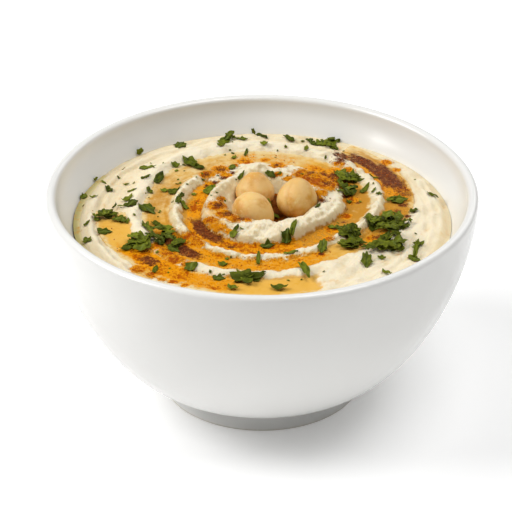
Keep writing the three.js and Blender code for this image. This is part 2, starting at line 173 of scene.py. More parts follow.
# %% Ring builder
def pull_rings(name, outline, sides):
    """A closed body from a disc that is extruded and scaled along (radius, height) pairs."""
    let_go()
    radius, height = outline[0]
    place = (0, 0, height * MM)
    bpy.ops.mesh.primitive_circle_add(vertices=sides, radius=radius * MM, fill_type="NGON", location=place)
    piece = new_piece(name)
    edit_all(piece)
    for next_radius, next_height in outline[1:]:
        rise = (next_height - height) * MM
        bpy.ops.mesh.extrude_region_move(TRANSFORM_OT_translate={"value": (0, 0, rise)})
        grow = next_radius / radius
        middle = (0, 0, next_height * MM)
        bpy.ops.transform.resize(value=(grow, grow, 1), center_override=middle)
        radius, height = next_radius, next_height
    bpy.ops.mesh.select_all(action="SELECT")
    bpy.ops.mesh.normals_make_consistent(inside=False)
    bpy.ops.object.mode_set(mode="OBJECT")
    return piece


def arc(middle_radius, middle_height, radius, start, end, steps):
    """Points on a circular arc of the outline, with angles in degrees."""
    angles = [math.radians(mix(start, end, step / steps)) for step in range(steps + 1)]
    return [
        (middle_radius + radius * math.cos(angle), middle_height + radius * math.sin(angle))
        for angle in angles
    ]


# %% [markdown]
# ## The bowl
# The bowl is thick stoneware under a plain white glaze. Its outside swells quickly above a
# short foot ring and then rises almost straight to a rounded lip. Its wall is thinnest at
# the lip and thickens below it. One outline gives the underside, foot, outside, lip, inside
# and floor, in that order.

# %% The bowl's outside and inside
def outer_radius(height):
    rise = np.clip((height - WAIST_HEIGHT) / (LIP_LEVEL - WAIST_HEIGHT), 0, 1)
    belly = (1 - (1 - rise) ** BELLY_POWER) ** (1 / BELLY_ROUNDNESS)
    return mix(WAIST_RADIUS, RIM_RADIUS, belly)


def inner_radius(height):
    below = LIP_LEVEL - height
    deep = np.maximum(0, below - WALL_BLEND_DEPTH) / (BOWL_HEIGHT - WALL_BLEND_DEPTH - FLOOR_HEIGHT)
    wall = mix(LIP_WALL, WALL, smoothstep(0, WALL_BLEND_DEPTH, below))
    return outer_radius(height) - wall - HEEL_EXTRA_WALL * deep**2


print(f"wall {outer_radius(40.0) - inner_radius(40.0):.1f} mm thick at 40 mm up")

# %% [markdown]
# The foot is a ring with rounded edges round a hollow underside, where the bowl was trimmed
# on the wheel. Steps up the outside are closest together near the waist, where the curve is
# tightest.

# %% Pull up the bowl
BOWL_SIDES = 160
FOOT_EDGE = 0.5
HOLLOW_FILLET = 0.8
FOOT_STEPS, BODY_STEPS, WALL_STEPS = 4, 34, 26
CROWDING = 1.6


def foot_outline():
    tread_inside = FOOT_RADIUS - FOOT_TREAD
    fillet_middle = (tread_inside - 1.8, UNDERSIDE_HEIGHT - HOLLOW_FILLET)
    outline = [(FIRST_DISC, UNDERSIDE_HEIGHT), (12.0, UNDERSIDE_HEIGHT)]
    outline += arc(*fillet_middle, HOLLOW_FILLET, 90, 10, 4)
    outline += arc(tread_inside + FOOT_EDGE, FOOT_EDGE, FOOT_EDGE, 190, 270, 4)
    outline += arc(FOOT_RADIUS - FOOT_EDGE, FOOT_EDGE, FOOT_EDGE, -90, 15, 5)
    for step in range(1, FOOT_STEPS + 1):
        share = step / FOOT_STEPS
        outline.append((mix(FOOT_RADIUS, FOOT_TOP_RADIUS, share) - 0.1, mix(0.9, FOOT_HEIGHT, share)))
    return outline


def bowl_outline():
    outline = foot_outline()
    for step in range(BODY_STEPS):
        height = mix(WAIST_HEIGHT + 0.3, LIP_LEVEL, (step / BODY_STEPS) ** CROWDING)
        outline.append((float(outer_radius(height)), height))
    outline += arc(RIM_RADIUS - LIP_RADIUS, LIP_LEVEL, LIP_RADIUS, 0, 180, 12)
    for step in range(1, WALL_STEPS + 1):
        height = mix(LIP_LEVEL, HEEL_LEVEL, step / WALL_STEPS)
        outline.append((float(inner_radius(height)), height))
    outline += [(FLOOR_RADIUS + 3, FLOOR_HEIGHT + 0.6), (FLOOR_RADIUS, FLOOR_HEIGHT)]
    return outline + [(FIRST_DISC, FLOOR_HEIGHT)]


bowl = pull_rings("bowl_glazed", bowl_outline(), BOWL_SIDES)
bpy.ops.object.shade_smooth_by_angle(angle=math.radians(50))
print(f"bowl: {len(corners(bowl))} corners")

# %% [markdown]
# ## The swirl
# Holding a spoon in the paste and turning the bowl leaves one groove that winds outwards,
# with a crest pushed up on each side of it. The groove's radius grows with its angle, which
# keeps counting past 360 degrees, and sways a little because no hand is perfectly steady.
# The height of the paste is the height of the crests, cut down wherever a turn of the groove
# passes. The same numbers shaped the solid, so this surface lies where the solid is.
#
# A place along the groove is an angle, a place across the bowl a bearing, both in degrees.
# A push is (bearing, width, outwards): the hand strayed there by so many millimetres. A
# shallow stretch is (angle, width, share): the groove loses that share of its depth.

# %% Swirl sizes
GROOVE_LEVEL = 56.8
WALL_GAP, SOLID_WALL_GAP = 0.08, 0.3
SWIRL_X, SWIRL_Y = 2.0, 4.9
CRATER_X, CRATER_Y = 2.5, 6.5
CRATER_DEPTH, CRATER_FLOOR_RADIUS, CRATER_RADIUS = 2.2, 8.5, 15.5
EDGE_DROP, EDGE_WIDTH, GUTTER_EXTRA_DROP = 0.7, 4.5, 0.9
CRATER_LEFT_BEARING, CRATER_LEFT_WIDTH, CRATER_LEFT_REACH = 172, 48, 2.2
GROOVE_START, GROOVE_END = 116.0, 1011.0
FADE_IN, FADE_OUT = 45, 9
FIRST_RADIUS, STEP_OUT, WIDENING = 20.4, 9.3, 1.34
SWAY_PER_TURN, SWAY_AT_START, SIDE_SWAY = 1.96, 0.55, 1.6
OUTER_SIDE_SHARE = 0.56
FLOOR_SHARE, NARROW_ANGLE, NARROW_WIDTH, NARROW_LOSS = 0.32, 640, 45, 0.2
GROOVE_PUSHES = [(172, 26, -1.9), (252, 30, 1.5), (316, 22, -1.9), (16, 26, 0.8)]
SHALLOW_STRETCHES = [(838, 55, 0.6), (645, 32, 0.28)]


# %% The groove
def bell_at(angle, bearing, width):
    """A bell by bearing, the same on every turn."""
    return bell((angle - bearing + 180) % 360 - 180, 0, width)


def groove_radius(angle):
    turns = (angle - GROOVE_START) / 360
    bearing = np.radians(angle)
    sway = (SWAY_PER_TURN * turns - SWAY_AT_START) * np.sin(bearing) - SIDE_SWAY * np.cos(bearing)
    pushes = sum(push * bell_at(angle, place, width) for place, width, push in GROOVE_PUSHES)
    return FIRST_RADIUS + STEP_OUT * turns + WIDENING * turns**2 + sway + pushes


def groove_strength(angle):
    strength = smoothstep(GROOVE_START, GROOVE_START + FADE_IN, angle)
    strength = strength * (1 - smoothstep(GROOVE_END - FADE_OUT, GROOVE_END, angle))
    for middle, width, loss in SHALLOW_STRETCHES:
        strength = strength * (1 - loss * bell(angle, middle, width))
    return strength


def groove_cut(distance, bearing):
    """0 on a crest, 1 on the flat floor of the groove."""
    cut = np.zeros_like(distance)
    for turn in range(3):
        angle = bearing + 360 * turn
        radius = groove_radius(angle)
        outside = OUTER_SIDE_SHARE * (groove_radius(angle + 360) - radius)
        inside = (1 - OUTER_SIDE_SHARE) * (radius - groove_radius(angle - 360))
        across = np.abs(distance - radius) / np.where(distance > radius, outside, inside)
        floor = FLOOR_SHARE - NARROW_LOSS * bell(angle, NARROW_ANGLE, NARROW_WIDTH)
        cut = np.maximum(cut, (1 - smoothstep(floor, 1, across)) * groove_strength(angle))
    return cut


print(f"the groove winds from {groove_radius(GROOVE_START):.0f} mm out to {groove_radius(GROOVE_END):.0f} mm")

# %% [markdown]
# The crests are highest round the hollow in the middle and lower towards the wall. Paste
# keeps every small thing that happened to it. The crests carry broad lumps and, behind the
# hollow, the peak that the spoon pulled up as it left.

# %% The height of the paste
CREST = 1.5
INNER_CREST_RISE, OUTER_CREST_RISE = 2.4, 0.6
PEAK_X, PEAK_Y, PEAK_RISE = -1.8, 24.0, 1.8
TIP_Y, TIP_RISE = 23.4, 0.5


def crest_height(x, y, distance, bearing):
    rings = INNER_CREST_RISE * bell(distance, 16, 9) + OUTER_CREST_RISE * bell(distance, 40, 6)
    rings = rings + np.cos(np.radians(bearing)) ** 2 * bell(distance, 30, 6)
    peak = PEAK_RISE * bell(np.hypot(x - PEAK_X, y - PEAK_Y), 0, 4)
    peak = peak + TIP_RISE * bell(np.hypot(x - PEAK_X, y - TIP_Y), 0, 1.6)
    lumps = 0.35 * np.sin(0.55 * x + 1.3) * np.sin(0.48 * y) + 0.2 * np.sin(1.1 * x - 0.7 * y)
    return CREST + rings + peak + lumps


def gutter_share(bearing):
    """1 where the edge on the left is sunk into a gutter, 0 elsewhere."""
    return smoothstep(140, 165, bearing) * (1 - smoothstep(225, 250, bearing))


def bearing_of(x, y):
    return np.degrees(np.arctan2(y, x)) % 360


def relief(x, y):
    """Height of the paste above the bottom of the groove."""
    distance = np.hypot(x - SWIRL_X, y - SWIRL_Y)
    bearing = bearing_of(x - SWIRL_X, y - SWIRL_Y)
    swirled = crest_height(x, y, distance, bearing) * (1 - groove_cut(distance, bearing))
    hollow = np.hypot(x - CRATER_X, y - CRATER_Y)
    on_left = bell_at(bearing, CRATER_LEFT_BEARING, CRATER_LEFT_WIDTH)
    crater_radius = CRATER_RADIUS + CRATER_LEFT_REACH * on_left
    height = mix(-CRATER_DEPTH, swirled, smoothstep(CRATER_FLOOR_RADIUS, crater_radius, hollow))
    gutter = gutter_share(bearing_of(x, y))
    from_wall = float(inner_radius(GROOVE_LEVEL)) - SOLID_WALL_GAP - np.hypot(x, y)
    at_edge = 1 - smoothstep(0.5, EDGE_WIDTH + gutter, from_wall)
    return mix(height, -EDGE_DROP - GUTTER_EXTRA_DROP * gutter, at_edge)


peak_top = relief(np.array([PEAK_X]), np.array([PEAK_Y]))[0]
print(f"the peak stands {peak_top:.1f} mm above the bottom of the groove")

# %% [markdown]
# Three kinds of fine unevenness go on top: soft lumps, streaks drawn out along the groove by
# the spoon's edge, and a slightly torn skin on the crests. Near the wall the spoon's back
# left faint rings.

# %% Fine unevenness
LUMP_DEPTH, TEAR_DEPTH, STREAK_DEPTH, SKIN_DEPTH, RING_DEPTH = 0.3, 0.62, 0.16, 0.1, 0.28


def roughness_of_paste(x, y):
    """Lumps, spoon streaks and torn skin, in millimetres."""
    distance = np.hypot(x - SWIRL_X, y - SWIRL_Y)
    bearing = bearing_of(x - SWIRL_X, y - SWIRL_Y)
    lumps = LUMP_DEPTH * cloud(x, y, 6.0, 1.0)
    torn = TEAR_DEPTH * (0.3 - np.abs(cloud(x, y, 3.6, 5.0, 4)))
    torn = (torn + 0.22 * cloud(x, y, 2.0, 13.0)) * (1 - 0.72 * smoothstep(36, 42, distance))
    spread = distance - 11.5 * bearing / 360
    turned = 9 * np.sin(np.radians(bearing / 2))
    streaks = STREAK_DEPTH * cloud(spread * 3, turned + 0.05 * distance, 3.0, 7.0)
    skin = SKIN_DEPTH * cloud(x, y, 1.3, 3.0)
    near_wall = smoothstep(0, 3, float(inner_radius(GROOVE_LEVEL)) - np.hypot(x, y))
    from_middle = np.hypot(x, y)
    rings = RING_DEPTH * np.sin(2.1 * from_middle + 1.5 * cloud(x, y, 16.0, 9.0))
    rings = rings * smoothstep(46, 50, from_middle)
    return (lumps + torn + streaks + skin + rings) * near_wall


sample = roughness_of_paste(np.linspace(-40, 40, 60), np.zeros(60))
print(f"fine unevenness from {sample.min():.1f} to {sample.max():.1f} mm")

# %% [markdown]
# ## Chickpeas
# Three whole cooked chickpeas sit in the hollow. Each is a ball that runs out into a small
# beak, with a shallow cleft down one side. Their places come first, because the paste is
# pressed down under them.

# %% Where the chickpeas lie
CHICKPEAS = {
    "chickpea_left": {
        "centre": (-3, 0.4, 58.8), "radii": (6.2, 6.1, 5.8), "turn": 325, "tip": -15, "roll": 150,
    },
    "chickpea_right": {
        "centre": (10.7, 6, 59.5), "radii": (6.2, 5.8, 6.2), "turn": 70, "tip": 82, "roll": -28,
    },
    "chickpea_back": {
        "centre": (-2.1, 12.9, 58.5), "radii": (6, 5.3, 6), "turn": 100, "tip": 84, "roll": 165,
    },
}
PRESS_GAP = 0.2


def press_under_chickpeas(x, y, height):
    for chickpea in CHICKPEAS.values():
        centre_x, centre_y, centre_z = chickpea["centre"]
        radius = max(chickpea["radii"]) + PRESS_GAP
        off = np.hypot(x - centre_x, y - centre_y)
        bottom = centre_z - GROOVE_LEVEL - np.sqrt(np.maximum(radius**2 - off**2, 0)) - 0.05
        height = np.where(off < radius, np.minimum(height, bottom), height)
    return height


def paste_height(x, y):
    return press_under_chickpeas(x, y, relief(x, y) + roughness_of_paste(x, y))


print(len(CHICKPEAS), "chickpeas press into the hollow")

# %% [markdown]
# ## The hummus
# The paste starts as a body pulled up the inside of the bowl, like the bowl itself, with its
# top closed by many narrow rings. The rings round the middle are centred on the swirl and
# the outer ones on the bowl, and each corner is then lifted to the height of the paste.

# %% Pull up the paste
PASTE_SIDES = 420
PASTE_RINGS = 118
FIRST_RING = 0.01
FLAT_TOP_RADIUS = 57.0


def paste_outline():
    edge_level = GROOVE_LEVEL - EDGE_DROP - GUTTER_EXTRA_DROP
    outline = [(FIRST_DISC, FLOOR_HEIGHT + WALL_GAP), (FLOOR_RADIUS, FLOOR_HEIGHT + WALL_GAP)]
    for level in np.linspace(HEEL_LEVEL + WALL_GAP, edge_level - 1.5, 9):
        outline.append((float(inner_radius(level)) - WALL_GAP, float(level)))
    shares = np.linspace(1, FIRST_RING, PASTE_RINGS)
    return outline + [(share * FLAT_TOP_RADIUS, GROOVE_LEVEL) for share in shares]


hummus = pull_rings("hummus_swirled", paste_outline(), PASTE_SIDES)
print(f"paste: {len(corners(hummus))} corners")

# %% [markdown]
# The flat top now has a ring of corners every half millimetre. Each corner keeps its bearing
# and slides a little, so that the inner rings are centred on the swirl and the outermost one
# follows the wall, and then takes its height from the swirl.

# %% Lift the top to the swirl
def lift_top(piece):
    places = corners(piece)
    is_top = places[:, 2] > GROOVE_LEVEL - 0.01
    x, y = places[is_top, 0], places[is_top, 1]
    share = np.hypot(x, y) / FLAT_TOP_RADIUS
    bearing = bearing_of(x, y)
    edge = GROOVE_LEVEL - EDGE_DROP - GUTTER_EXTRA_DROP * gutter_share(bearing)
    radius = share * (inner_radius(edge) - WALL_GAP)
    pull = 1 - share**2
    x = radius * np.cos(np.radians(bearing)) + pull * SWIRL_X
    y = radius * np.sin(np.radians(bearing)) + pull * SWIRL_Y
    places[is_top] = np.column_stack([x, y, GROOVE_LEVEL + paste_height(x, y)])
    move_corners(piece, places)


lift_top(hummus)
take(hummus)
bpy.ops.object.shade_smooth_by_angle(angle=math.radians(60))
print("highest crest:", round(float(corners(hummus)[:, 2].max()), 1), "mm")

# %% [markdown]
# ## Where the seasoning went
# Oil and paprika were poured and shaken along the groove, and they stained what they
# touched. Four amounts are worked out for every corner of the paste and of the oil: `film`,
# a thin coat of pale orange oil; `tan`, oil browned by spice; `vivid`, paprika soaked with
# oil; and `spice`, dark heaps of it.
#
# A band follows the groove: (middle, half length, strength, shift), with the first two in
# degrees along the groove and the shift in millimetres across it. A spot lies anywhere:
# (x, y, radius). Its y is where someone sees it who looks down from the front at a slant,
# as if the paste were flat, and `SLANT` slides it back up the crest to where it lies.

# %% Seasoning bands and spots
SLANT = 1.865
FILM_REACH, BARE_REACH, TAN_REACH, VIVID_REACH, SPICE_REACH = 5.2, 7.0, 5.0, 4.6, 2.6
FILM_BANDS = [(GROOVE_START + 430, 470, 0.8, 0), (912, 24, 1.1, 0), (990, 20, 1.2, 0)]
BARE_BANDS = [
    (830, 54, 0.9, 0), (510, 36, 0.6, 0), (462, 34, 0.85, 0), (892, 16, 0.8, 0), (767, 16, 1.0, 7.2),
]
TAN_BANDS = [
    (180, 50, 0.8, 1.0), (352, 62, 1.15, 0), (545, 45, 0.6, 0), (722, 34, 1.0, 0), (690, 20, 0.6, 0),
    (754, 20, 0.8, 0), (500, 30, 0.35, 0.5), (600, 18, 0.4, 0),
]
VIVID_BANDS = [
    (140, 24, 0.8, 0), (236, 40, 0.9, 0), (262, 34, 1.0, 0), (304, 26, 0.55, 1), (404, 24, 1.0, -2),
    (170, 34, 0.85, -1.6), (442, 10, 0.5, 0), (462, 7, 0.6, 0), (585, 24, 0.85, 0), (625, 38, 0.8, 0),
    (700, 22, 0.5, 0), (748, 18, 0.8, -1.6), (948, 20, 1.0, 0), (966, 14, 0.8, 0), (912, 12, 0.3, 2.5),
]
SPICE_BANDS = [
    (218, 20, 1.0, -0.4), (400, 15, 0.6, -1), (582, 16, 1.0, 1.1), (765, 9, 1.0, -0.4),
    (751, 13, 1.0, -0.6), (748, 12, 1.0, 1.3), (776, 5, 0.9, -3), (736, 8, 0.7, 2.4), (943, 4, 0.9, 0),
    (700, 14, 0.4, 0), (160, 16, 0.45, -2.2), (340, 22, 0.4, -3.4), (385, 14, 0.5, -3),
    (12, 16, 0.4, 0.6),
]
VIVID_SPOTS = [
    (-17, 28, 3.4), (-13, 31, 3.8), (-5.5, 36.5, 3.0), (5, 34, 3.2), (1, 37.5, 2.0), (-9, 34, 2.0),
    (-11, 27, 2.4), (17, 25, 6.5), (13, 28, 4.5), (20, 21, 4.6), (23, 29, 4.4), (27, 31, 2.4),
    (18, 16, 2.6), (24, 35, 2.4), (39, 36, 2.4), (42, 31, 1.8), (-13.5, 7.5, 4.2), (-11, 2.5, 3.6),
    (-15.5, -1.5, 3.2), (-8, -0.5, 3.0), (-4.5, -1, 2.2), (-13, -6, 3.6), (-9.5, -8.5, 2.2),
    (-12.5, 12, 2.0), (-21, -12, 4.4), (-24, -17, 3.6), (-27.5, -20.5, 4.0), (-25, -25, 3.8),
    (-22, -28, 2.4), (-31, -17, 3.0), (17, 12, 2.4), (-19, -16, 3.0), (-3, -22, 2.0), (-12, -23.5, 2.2),
    (-36, -31, 3.0), (-32, -34.5, 2.2), (-25.5, -38.5, 2.0), (-22, -40.5, 1.7), (-13, -42, 2.0),
    (-29, -37, 1.6), (5, 28, 2.0), (8, 25, 1.8), (27, 11, 3.4), (25, 1, 2.6), (21, -7, 3.2),
    (42, 13, 3.6), (43, 18, 3.0), (17, -22.5, 2.4), (19.5, -12.5, 2.4), (33, -13, 3.0), (-20, 6, 3.0),
    (-16, 21, 2.4),
]
FILM_SPOTS = [
    (-22, -13, 6), (-28, -22, 6), (-13, 4, 5), (-16, 30, 4), (17, 27, 7), (-34, -35, 4), (-14, -4, 5),
]
SPICE_SPOTS = [
    (-13, 8, 2.2), (-10.4, 2.6, 1.9), (-6, -0.5, 1.6), (17.6, 11, 2.4), (-33, -26, 2.6),
    (-28, -14, 2.2), (-23, -22, 2.4), (19, 28, 2.4), (22.5, 27, 2.8), (20, 22, 2.0), (15, 29, 1.8),
    (24.5, 37.5, 2.6), (28, 37, 2.4), (-9, -18, 1.8), (-13, -14, 2.2), (-17, 20, 1.5),
    (-14.5, 22.5, 1.5), (-12, 25.5, 1.7), (-9, 29, 1.3), (-17, 27.5, 1.3), (-12.5, 31, 1.8),
    (25.5, 13.5, 2.0), (29, 9, 1.4), (25.5, 5.5, 1.0), (24.5, -3, 1.3), (43, 8, 2.2), (41, 4, 1.8),
    (44, 1, 1.6), (34, -12, 1.8), (26, -18, 1.6), (17.5, -22, 1.3), (4.5, 34.5, 1.3), (-5.5, 37, 1.2),
]


# %% [markdown]
# A band fades out across the groove and along it. A spot is put on the paste first: `seat`
# goes down the line of sight until it meets the paste, as an eye would.

# %% How much seasoning lies where
FADE_ACROSS, FADE_ALONG = (0.55, 1.2), (0.6, 1.4)
HIGHEST_CREST, LOWEST_FLOOR = 6, -3


def along_groove(distance, bearing, bands, reach):
    """How strongly bands along the groove cover each point."""
    amount = np.zeros_like(distance)
    for middle, half_length, strength, shift in bands:
        for turn in range(-1, 4):
            angle = bearing + 360 * turn
            is_near = np.abs(angle - middle) < 2.2 * half_length
            across = np.abs(distance - groove_radius(angle) - shift) / reach
            cover = strength * (1 - smoothstep(*FADE_ACROSS, across))
            cover = cover * (1 - smoothstep(*FADE_ALONG, np.abs(angle - middle) / half_length))
            amount = np.maximum(amount, np.where(is_near, cover, 0))
    return amount


def seat(x, seen_y):
    """The place on the paste that is seen at (x, seen_y)."""
    heights = np.arange(HIGHEST_CREST, LOWEST_FLOOR, -0.05)
    y = seen_y - SLANT * heights
    above = relief(np.full_like(y, x), y) >= heights
    first = int(np.argmax(above)) if above.any() else len(heights) - 1
    return x, float(y[first])


def spots(x, y, seen_y, places):
    """How strongly spots cover each point, but not far behind the crest that they lie on."""
    amount = np.zeros_like(x)
    for spot_x, spot_y, radius in places:
        off = np.abs(y - seat(spot_x, spot_y)[1]) / radius
        cover = bell(np.hypot(x - spot_x, seen_y - spot_y), 0, radius) * (1 - smoothstep(1.1, 2.1, off))
        amount = np.maximum(amount, cover)
    return amount


def seasoning(x, y, height):
    """Film, tan, vivid and spice at points whose height is above the groove's bottom."""
    distance = np.hypot(x - SWIRL_X, y - SWIRL_Y)
    bearing = bearing_of(x - SWIRL_X, y - SWIRL_Y)
    ragged = 1 + 0.3 * cloud(x, y, 4.0, 11.0)
    film = along_groove(distance, bearing, FILM_BANDS, FILM_REACH * ragged)
    film = film * (1 - along_groove(distance, bearing, BARE_BANDS, BARE_REACH))
    tan = along_groove(distance, bearing, TAN_BANDS, TAN_REACH * ragged)
    vivid = along_groove(distance, bearing, VIVID_BANDS, VIVID_REACH * ragged)
    spice = along_groove(distance, bearing, SPICE_BANDS, SPICE_REACH * ragged)
    low_on_bank = 1 - smoothstep(1.0, 2.1, height + 0.5 * cloud(x, y, 2.6, 41.0))
    film, tan, vivid, spice = (amount * low_on_bank for amount in (film, tan, vivid, spice))
    seen_y = y + SLANT * height
    film = np.maximum(film, 0.8 * spots(x, y, seen_y, FILM_SPOTS))
    vivid = np.maximum(vivid, 1.7 * spots(x, y, seen_y, VIVID_SPOTS) ** 1.6)
    spice = np.maximum(spice, spots(x, y, seen_y, SPICE_SPOTS))
    return film, tan, vivid, spice


print(f"a spot seen at y = 25 mm lies at y = {seat(17, 25)[1]:.1f} mm")

# %% [markdown]
# Each corner keeps its amounts as attributes, which a material can read. Two more help the
# colour: `streak`, faint lines that the spoon drew along the groove, and `flank`, how steep
# the paste is. Steep banks are painted darker, partly because a bank holds more of the oily
# part of the paste than a top does and partly as painted shade on the banks.

# %% Paint the amounts on the paste
AMOUNTS = ("film", "tan", "vivid", "spice")


def streaks_along(x, y):
    distance = np.hypot(x - SWIRL_X, y - SWIRL_Y)
    bearing = bearing_of(x - SWIRL_X, y - SWIRL_Y)
    spread = distance - 11.5 * bearing / 360
    return 0.5 + 0.55 * cloud(spread * 4, distance * np.sin(np.radians(bearing / 2)), 5.0, 51.0)


def paint_seasoning(piece):
    places = corners(piece)
    paint(piece, "streak", streaks_along(places[:, 0], places[:, 1]))
    amounts = seasoning(places[:, 0], places[:, 1], places[:, 2] - GROOVE_LEVEL)
    for name, values in zip(AMOUNTS, amounts):
        paint(piece, name, values)


def paint_flanks(piece):
    places, step = corners(piece), 0.5
    x, y = places[:, 0], places[:, 1]
    slope_x = paste_height(x + step, y) - paste_height(x - step, y)
    slope_y = paste_height(x, y + step) - paste_height(x, y - step)
    steep = np.hypot(slope_x, slope_y) / (2 * step)
    outer = smoothstep(33, 40, np.hypot(x - SWIRL_X, y - SWIRL_Y))
    # flank: steepness, for a darker colour that is partly oilier paste and partly painted shade
    paint(piece, "flank", smoothstep(0.15, 0.8, steep) * (1 - 0.6 * outer))


paint_seasoning(hummus)
paint_flanks(hummus)
print("painted on the paste: streak, flank,", ", ".join(AMOUNTS))

# %% [markdown]
# ## Building materials in code
# A material is a small graph. These helpers add a node, set its sockets by name and join two
# sockets, so that a graph reads from top to bottom.

# %% Node helpers
def feed(tree, value, socket):
    """Join another node's socket to this one, or set a plain value."""
    if isinstance(value, bpy.types.NodeSocket):
        tree.links.new(value, socket)
    else:
        socket.default_value = value


def add_node(tree, kind, settings=None, **sockets):
    """Sockets are given by name, with _ for a space, or by place as at0, at1 and so on."""
    node = tree.nodes.new(kind)
    for name, value in (settings or {}).items():
        setattr(node, name, value)
    for name, value in sockets.items():
        by_number = name.startswith("at")
        feed(tree, value, node.inputs[int(name[2:]) if by_number else name.replace("_", " ")])
    return node


def math_node(tree, operation, first, second=0.0, third=0.0):
    node = add_node(tree, "ShaderNodeMath", {"operation": operation}, at0=first, at1=second, at2=third)
    return node.outputs[0]


def blend_colours(tree, share, low, high):
    node = add_node(tree, "ShaderNodeMix", {"data_type": "RGBA"})
    for place, value in ((0, share), (6, low), (7, high)):
        feed(tree, value, node.inputs[place])
    return node.outputs[2]


def speckle(tree, place, features_per_metre, detail=3.0, roughness=0.6):
    node = add_node(
        tree, "ShaderNodeTexNoise", Vector=place, Scale=features_per_metre, Detail=detail, Roughness=roughness
    )
    return node.outputs["Fac"]


def ramp(tree, value, low, high):
    """0 below `low`, 1 above `high`, smooth in between."""
    smooth = {"interpolation_type": "SMOOTHSTEP"}
    node = add_node(tree, "ShaderNodeMapRange", smooth, Value=value, From_Min=low, From_Max=high)
    return node.outputs[0]


def attribute(tree, name):
    return add_node(tree, "ShaderNodeAttribute", {"attribute_name": name}).outputs["Fac"]


def new_material(name):
    """A material, its graph and its main shader."""
    material = bpy.data.materials.new(name)
    material.use_nodes = True
    return material, material.node_tree, material.node_tree.nodes["Principled BSDF"]


def object_place(tree):
    return add_node(tree, "ShaderNodeTexCoord").outputs["Object"]


# %% [markdown]
# ## Seasoned colour
# The paste and the oil carry the same stains, so the stain is a node group. Noise is added
# to each amount before it is cut to a mask, which turns a smooth amount into splashes,
# freckles and torn edges as oil and powder make on a wet paste.

# %% The group for stains
PALE_FILM = (0.73, 0.39, 0.05, 1)
TAN_FILM = (0.46, 0.20, 0.02, 1)
VIVID_ORANGE = (0.73, 0.28, 0.003, 1)
BURNT_ORANGE = (0.38, 0.075, 0.0008, 1)
DAMP_SPICE = (0.17, 0.046, 0.014, 1)
WET_SPICE = (0.085, 0.019, 0.004, 1)
STAINS = ("Film", "Tan", "Vivid", "Spice")


def new_group(name, inputs, outputs):
    """A shader group, with the sockets that come into it and go out of it."""
    group = bpy.data.node_groups.new(name, "ShaderNodeTree")
    for way, sockets in (("INPUT", inputs), ("OUTPUT", outputs)):
        for socket_name, kind in sockets:
            group.interface.new_socket(socket_name, in_out=way, socket_type="NodeSocket" + kind)
    coming_in = group.nodes.new("NodeGroupInput").outputs
    going_out = group.nodes.new("NodeGroupOutput").inputs
    return group, coming_in, going_out


def seasoned_colour():
    group, given, result = new_group(
        "seasoned colour",
        [("Under", "Color"), ("Streak", "Float")] + [(name, "Float") for name in STAINS],
        [("Colour", "Color"), ("Wet", "Float"), ("Grains", "Float")],
    )
    place = object_place(group)
    broad = speckle(group, place, 320, 3.0, 0.55)
    splash = speckle(group, place, 900, 4.0, 0.65)
    grains = speckle(group, place, 3400, 2.0, 0.5)
    broad = math_node(group, "SUBTRACT", broad, 0.5)
    streak = math_node(group, "SUBTRACT", given["Streak"], 0.5)
    broad = math_node(group, "MULTIPLY_ADD", streak, 0.28, broad)
    splash = math_node(group, "SUBTRACT", splash, 0.5)
    fine = math_node(group, "SUBTRACT", grains, 0.5)
    film = math_node(group, "MULTIPLY_ADD", broad, 1.1, given["Film"])
    film = ramp(group, film, 0.2, 0.85)
    colour = blend_colours(group, math_node(group, "MULTIPLY", film, 0.85), given["Under"], PALE_FILM)
    tan = math_node(group, "MULTIPLY_ADD", broad, 1.3, given["Tan"])
    tan_mask = math_node(group, "MULTIPLY", ramp(group, tan, 0.15, 0.95), 0.85)
    colour = blend_colours(group, tan_mask, colour, TAN_FILM)
    uneven = math_node(group, "MULTIPLY_ADD", fine, 0.6, splash)
    vivid = math_node(group, "MULTIPLY_ADD", uneven, 1.7, given["Vivid"])
    vivid_mask = ramp(group, vivid, 0.35, 0.8)
    rusty = math_node(group, "MULTIPLY_ADD", broad, 0.8, uneven)
    thickness = math_node(group, "SUBTRACT", given["Vivid"], 0.9)
    rusty = math_node(group, "MULTIPLY_ADD", thickness, 0.8, rusty)
    orange = blend_colours(group, ramp(group, rusty, -0.04, 0.22), VIVID_ORANGE, BURNT_ORANGE)
    colour = blend_colours(group, vivid_mask, colour, orange)
    spice = math_node(group, "MULTIPLY_ADD", uneven, 1.5, given["Spice"])
    spice_mask = ramp(group, spice, 0.35, 0.95)
    heap = blend_colours(group, ramp(group, uneven, -0.1, 0.15), DAMP_SPICE, WET_SPICE)
    colour = blend_colours(group, spice_mask, colour, heap)
    group.links.new(colour, result["Colour"])
    group.links.new(film, result["Wet"])
    heaps = math_node(group, "MULTIPLY", math_node(group, "MAXIMUM", vivid_mask, spice_mask), grains)
    group.links.new(heaps, result["Grains"])
    return group


SEASONED = seasoned_colour()
print(len(SEASONED.nodes), "nodes in the group for stains")


def add_seasoning(tree, under):
    node = add_node(tree, "ShaderNodeGroup", {"node_tree": SEASONED})
    tree.links.new(under, node.inputs["Under"])
    for name in ("Streak", *STAINS):
        tree.links.new(attribute(tree, name.lower()), node.inputs[name])
    return node.outputs


# %% [markdown]
# ## Fine mottle
# Skin, leaf, glaze and paste all vary a little in colour and height over a millimetre or so.
# One group serves them all: it takes two colours and a size, and puts out the mixed colour
# and a height for a Bump node.

# %% The group for mottle
def mottle_group():
    numbers = [(name, "Float") for name in ("Features", "Low", "High")]
    group, given, result = new_group(
        "mottle",
        [("Colour", "Color"), ("Other Colour", "Color")] + numbers,
        [("Colour", "Color"), ("Height", "Float")],
    )
    patches = speckle(group, object_place(group), given["Features"], 4.0)
    share = ramp(group, patches, given["Low"], given["High"])
    group.links.new(blend_colours(group, share, given["Colour"], given["Other Colour"]), result["Colour"])
    group.links.new(patches, result["Height"])
    return group


MOTTLE = mottle_group()
print(len(MOTTLE.nodes), "nodes in the group for mottle")


